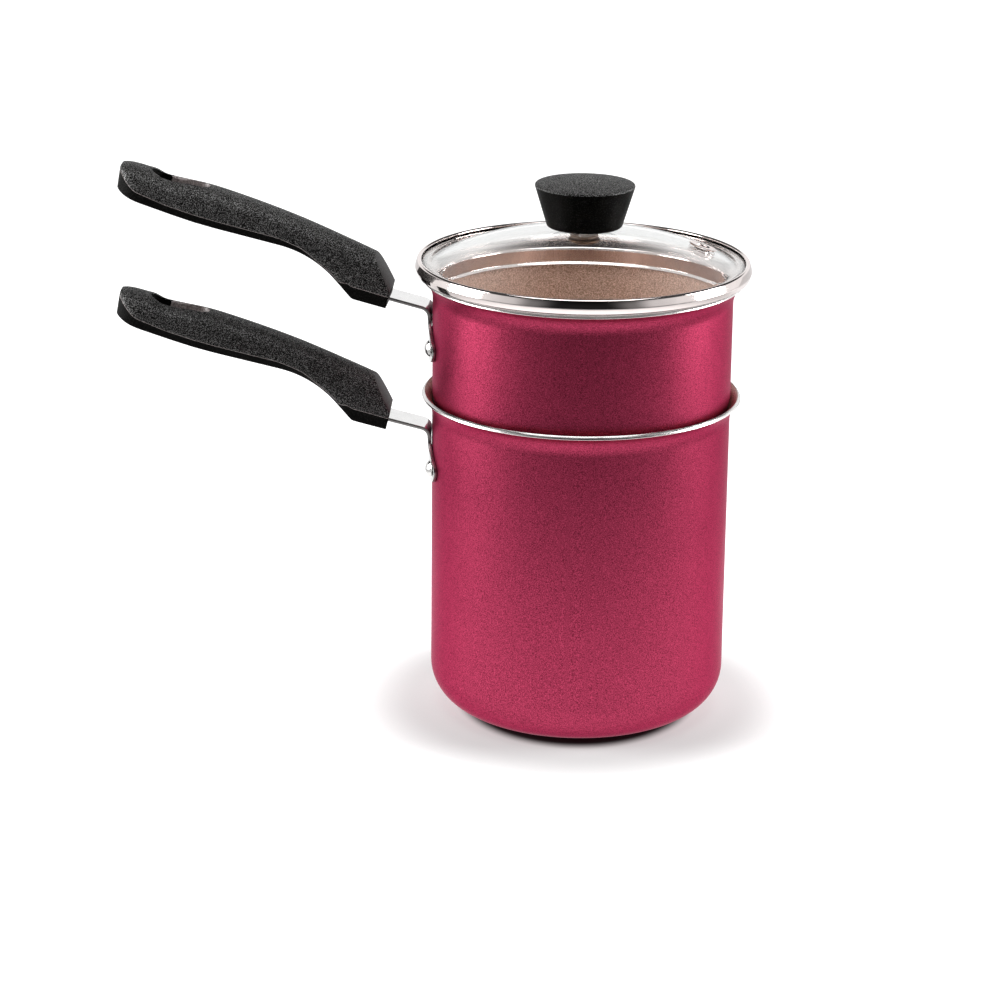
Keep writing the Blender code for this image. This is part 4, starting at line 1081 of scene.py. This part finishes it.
def build_handle(prefix, body, rivets):
    handle = finish_mesh(prefix + "_grip", grip_shape(rivets), (GRAINED, SMOOTH, SATIN, PAINTED_HIGHLIGHT_MOULDING))
    length = (STRAP_REACH - NOSE_DISTANCE) / cos(STRAP_RISE) + GAP
    pocket_size = (2 * length, STRAP_WIDTH + 2 * GAP, BRACKET_SHEET + 2 * GAP)
    pocket = box_cutter(pocket_size, strap_matrix(NOSE_DISTANCE, rivets), SMOOTH)
    place = strap_matrix(HANDLE_SCREW_DISTANCE, rivets)
    foot = value_at(FOOT_LINE, HANDLE_SCREW_DISTANCE) - strap_height(HANDLE_SCREW_DISTANCE)
    seat = foot * cos(STRAP_RISE) + COUNTERBORE_DEPTH
    bore_radius, bore_low = HANDLE_SCREW_HEAD_RADIUS + GAP, -30 * MM
    outline = [(0, seat), (bore_radius, seat), (bore_radius, bore_low), (0, bore_low)]
    bore = lathe("bore", outline, (SMOOTH,), 48, matrix=place)
    cut(handle, [slot_cutter(rivets), scoop_cutter(rivets), pocket, bore])
    bevel_edges(handle, 0.35 * MM, radians(38)).use_clamp_overlap = False
    take_modifiers(handle, 42)
    dress(handle, body, "black_moulding", prefix + "_handle")

    top = seat - GAP
    low = top - HANDLE_SCREW_HEAD_HEIGHT
    radius, point = HANDLE_SCREW_HEAD_RADIUS, 9 * MM
    outline = [(0.0, point), (HANDLE_SCREW_RADIUS, point), (HANDLE_SCREW_RADIUS, top),
               (radius - 0.2 * MM, top), (radius, top - 0.2 * MM), (radius, top - 1.2 * MM),
               (radius - 0.2 * MM, top - 1.6 * MM), (radius - 0.7 * MM, top - 1.9 * MM),
               (radius - 1.3 * MM, low), (0.0, low)]
    screw = lathe(prefix + "_grip_screw", outline, (RIVET_STEEL,), 48, matrix=place)
    recess = place @ Matrix.Translation((0, 0, low))
    cut(screw, cross_cutters((3.6 * MM, 0.8 * MM, 1.6 * MM), recess, 0.3, RIVET_STEEL))
    dress(screw, body, "rivet_steel", prefix + "_handle_screw")


# Light, floor and camera


def floor_material():
    """Matt white floor that glows a little to the camera, less near the pot, and in reflections: painted
    shade round the pot, painted light in its reflections.

    A painted contact shadow darkens it where the foot stands, and it keeps the object's shadow.
    """
    look = Look("floor_white", (0.4, 0.4, 0.4), 0.9, Specular_IOR_Level=0.0, Emission_Color=(1, 1, 1, 1))
    tree = look.tree

    def fade(value, near, far, at_near, at_far):
        return remap(tree, value, near, far, at_near, at_far, "SMOOTHSTEP")

    reach = length(tree, look.place)
    back = add_node(tree, "ShaderNodeSeparateXYZ", {0: look.place}).outputs["Y"]
    foot = length(tree, look.stretch(1.14, 1, 1))
    foot_edge, foot_clear = 0.059, 0.068
    # Painted contact shadow: the colour goes dark at the foot.
    look.to("Base Color", fade(foot, foot_edge, foot_clear, 0.03, 0.4))

    rays = add_node(tree, "ShaderNodeLightPath", {}).outputs
    seen = compute(tree, "MAXIMUM", rays["Is Camera Ray"], rays["Is Transmission Ray"])
    # Glow to the camera is less near the pot: painted shade round it.
    lift = compute(tree, "ADD", fade(reach, 0.076, 0.125, 0.34, 0.95), fade(back, -0.07, 0.02, 0.0, 0.16))
    direct = compute(tree, "MULTIPLY", seen, lift)
    # No glow at the foot, for the painted contact shadow.
    direct = compute(tree, "MULTIPLY", direct, fade(foot, foot_edge, foot_clear, 0.0, 1.0))
    # Glow seen only in reflections, strongest near the pot and behind it: painted light.
    glow = compute(tree, "ADD", fade(back, 0.05, 0.40, 0.0, 0.6), fade(reach, 0.18, 0.42, 1.0, 0.0))
    mirrored = compute(tree, "MULTIPLY", rays["Is Glossy Ray"], glow)
    look.to("Emission Strength", compute(tree, "ADD", direct, mirrored))
    return look.material


def build_stage():
    shape = bmesh.new()
    bmesh.ops.create_grid(shape, x_segments=1, y_segments=1, size=6.0)
    bmesh.ops.translate(shape, verts=shape.verts, vec=(0, 0, -0.2 * MM))
    floor = finish_mesh("floor", shape, (floor_material(),))


def build_lamp(name, place, width, height, power):
    """Soft box that faces the middle of the object."""
    lamp = bpy.data.lights.new(name, "AREA")
    lamp.shape = "RECTANGLE"
    lamp.size = width
    lamp.size_y = height
    lamp.energy = power
    holder = add_object(name, lamp)
    holder.location = place
    holder.rotation_euler = (Vector((0, 0, 0.12)) - Vector(place)).to_track_quat("-Z", "Y").to_euler()


def build_world():
    """Studio room: dark in front, bright behind, dim overhead. The camera sees white.

    Rays that have passed the glass see white too, but for a dark patch up behind the object.
    """
    world = bpy.data.worlds.new("studio")
    bpy.context.scene.world = world
    world.use_nodes = True
    tree = world.node_tree
    tree.nodes.clear()
    place = add_node(tree, "ShaderNodeTexCoord", {}).outputs["Generated"]
    parts = add_node(tree, "ShaderNodeSeparateXYZ", {0: place}).outputs
    share = compute(tree, "MULTIPLY_ADD", parts["Y"], 0.5, 0.5)
    ramp = add_node(tree, "ShaderNodeValToRGB", {0: share})
    ramp.color_ramp.interpolation = "EASE"
    stops = ramp.color_ramp.elements
    stops[0].position, stops[0].color = 0.04, (0.015, 0.015, 0.015, 1)
    stops[1].position, stops[1].color = 0.60, (1, 1, 1, 1)
    for position, level in ((0.10, 0.20), (0.19, 0.70), (0.36, 0.92)):
        stops.new(position).color = (level, level, level, 1)
    height = remap(tree, parts["Z"], 0.28, 0.40, 1.0, 0.06, "SMOOTHSTEP")
    room = add_node(tree, "ShaderNodeBackground", {0: ramp.outputs[0], 1: height})
    white = add_node(tree, "ShaderNodeBackground", {0: (1, 1, 1, 1)})

    middle = remap(tree, compute(tree, "ABSOLUTE", parts["X"]), 0.32, 0.12, 0.0, 1.0)
    behind = remap(tree, parts["Y"], -0.05, 0.15, 0.0, 1.0)
    above = remap(tree, parts["Z"], 0.0, 0.1, 0.0, 1.0)
    patch = compute(tree, "MULTIPLY", compute(tree, "MULTIPLY", middle, behind), above)
    rays = add_node(tree, "ShaderNodeLightPath", {}).outputs
    through = compute(tree, "MULTIPLY", rays["Is Transmission Ray"], compute(tree, "SUBTRACT", 1.0, patch))
    seen = compute(tree, "MAXIMUM", rays["Is Camera Ray"], through)
    mix = add_node(tree, "ShaderNodeMixShader", {0: seen, 1: room.outputs[0], 2: white.outputs[0]})
    add_node(tree, "ShaderNodeOutputWorld", {0: mix.outputs[0]})


def build_light():
    build_world()
    build_lamp("key_left", (-1.0, -0.1, 0.41), 0.5, 0.78, 13)
    build_lamp("key_right", (1.0, 0.05, 0.41), 0.5, 0.78, 13)
    build_lamp("overhead", (0, -0.1, 1.4), 1.1, 0.8, 8)
    bpy.context.scene.view_settings.view_transform = "Standard"


def build_camera():
    """Camera fitted to the photo, whose width is 1000 pixels."""
    focal_pixels, photo_width, sensor = 3176.32, 1000, 36
    look_down, roll = radians(17.487), radians(1.083)
    camera = bpy.data.cameras.new("camera")
    camera.lens = focal_pixels * sensor / photo_width
    camera.sensor_width = sensor
    camera.shift_x = -0.08
    camera.shift_y = -0.04
    camera.clip_end = 20
    holder = add_object("camera", camera)
    place = Matrix.Translation((0, -1.4336, 0.5712))
    holder.matrix_world = place @ Matrix.Rotation(pi / 2 - look_down, 4, "X") @ Matrix.Rotation(roll, 4, "Z")
    bpy.context.scene.camera = holder


build_camera()
build_stage()
build_light()
build_cooking_pot()
build_steamer_pot()
build_disc()
build_glass()
build_band()
build_knob_fittings(build_knob())
build_vent()
for prefix, body, rivets in (("pot", "root", POT_RIVETS), ("steamer", "steamer", STEAMER_RIVETS)):
    build_bracket(prefix, body, rivets)
    build_rivets(prefix, body, rivets)
    build_handle(prefix, body, rivets)
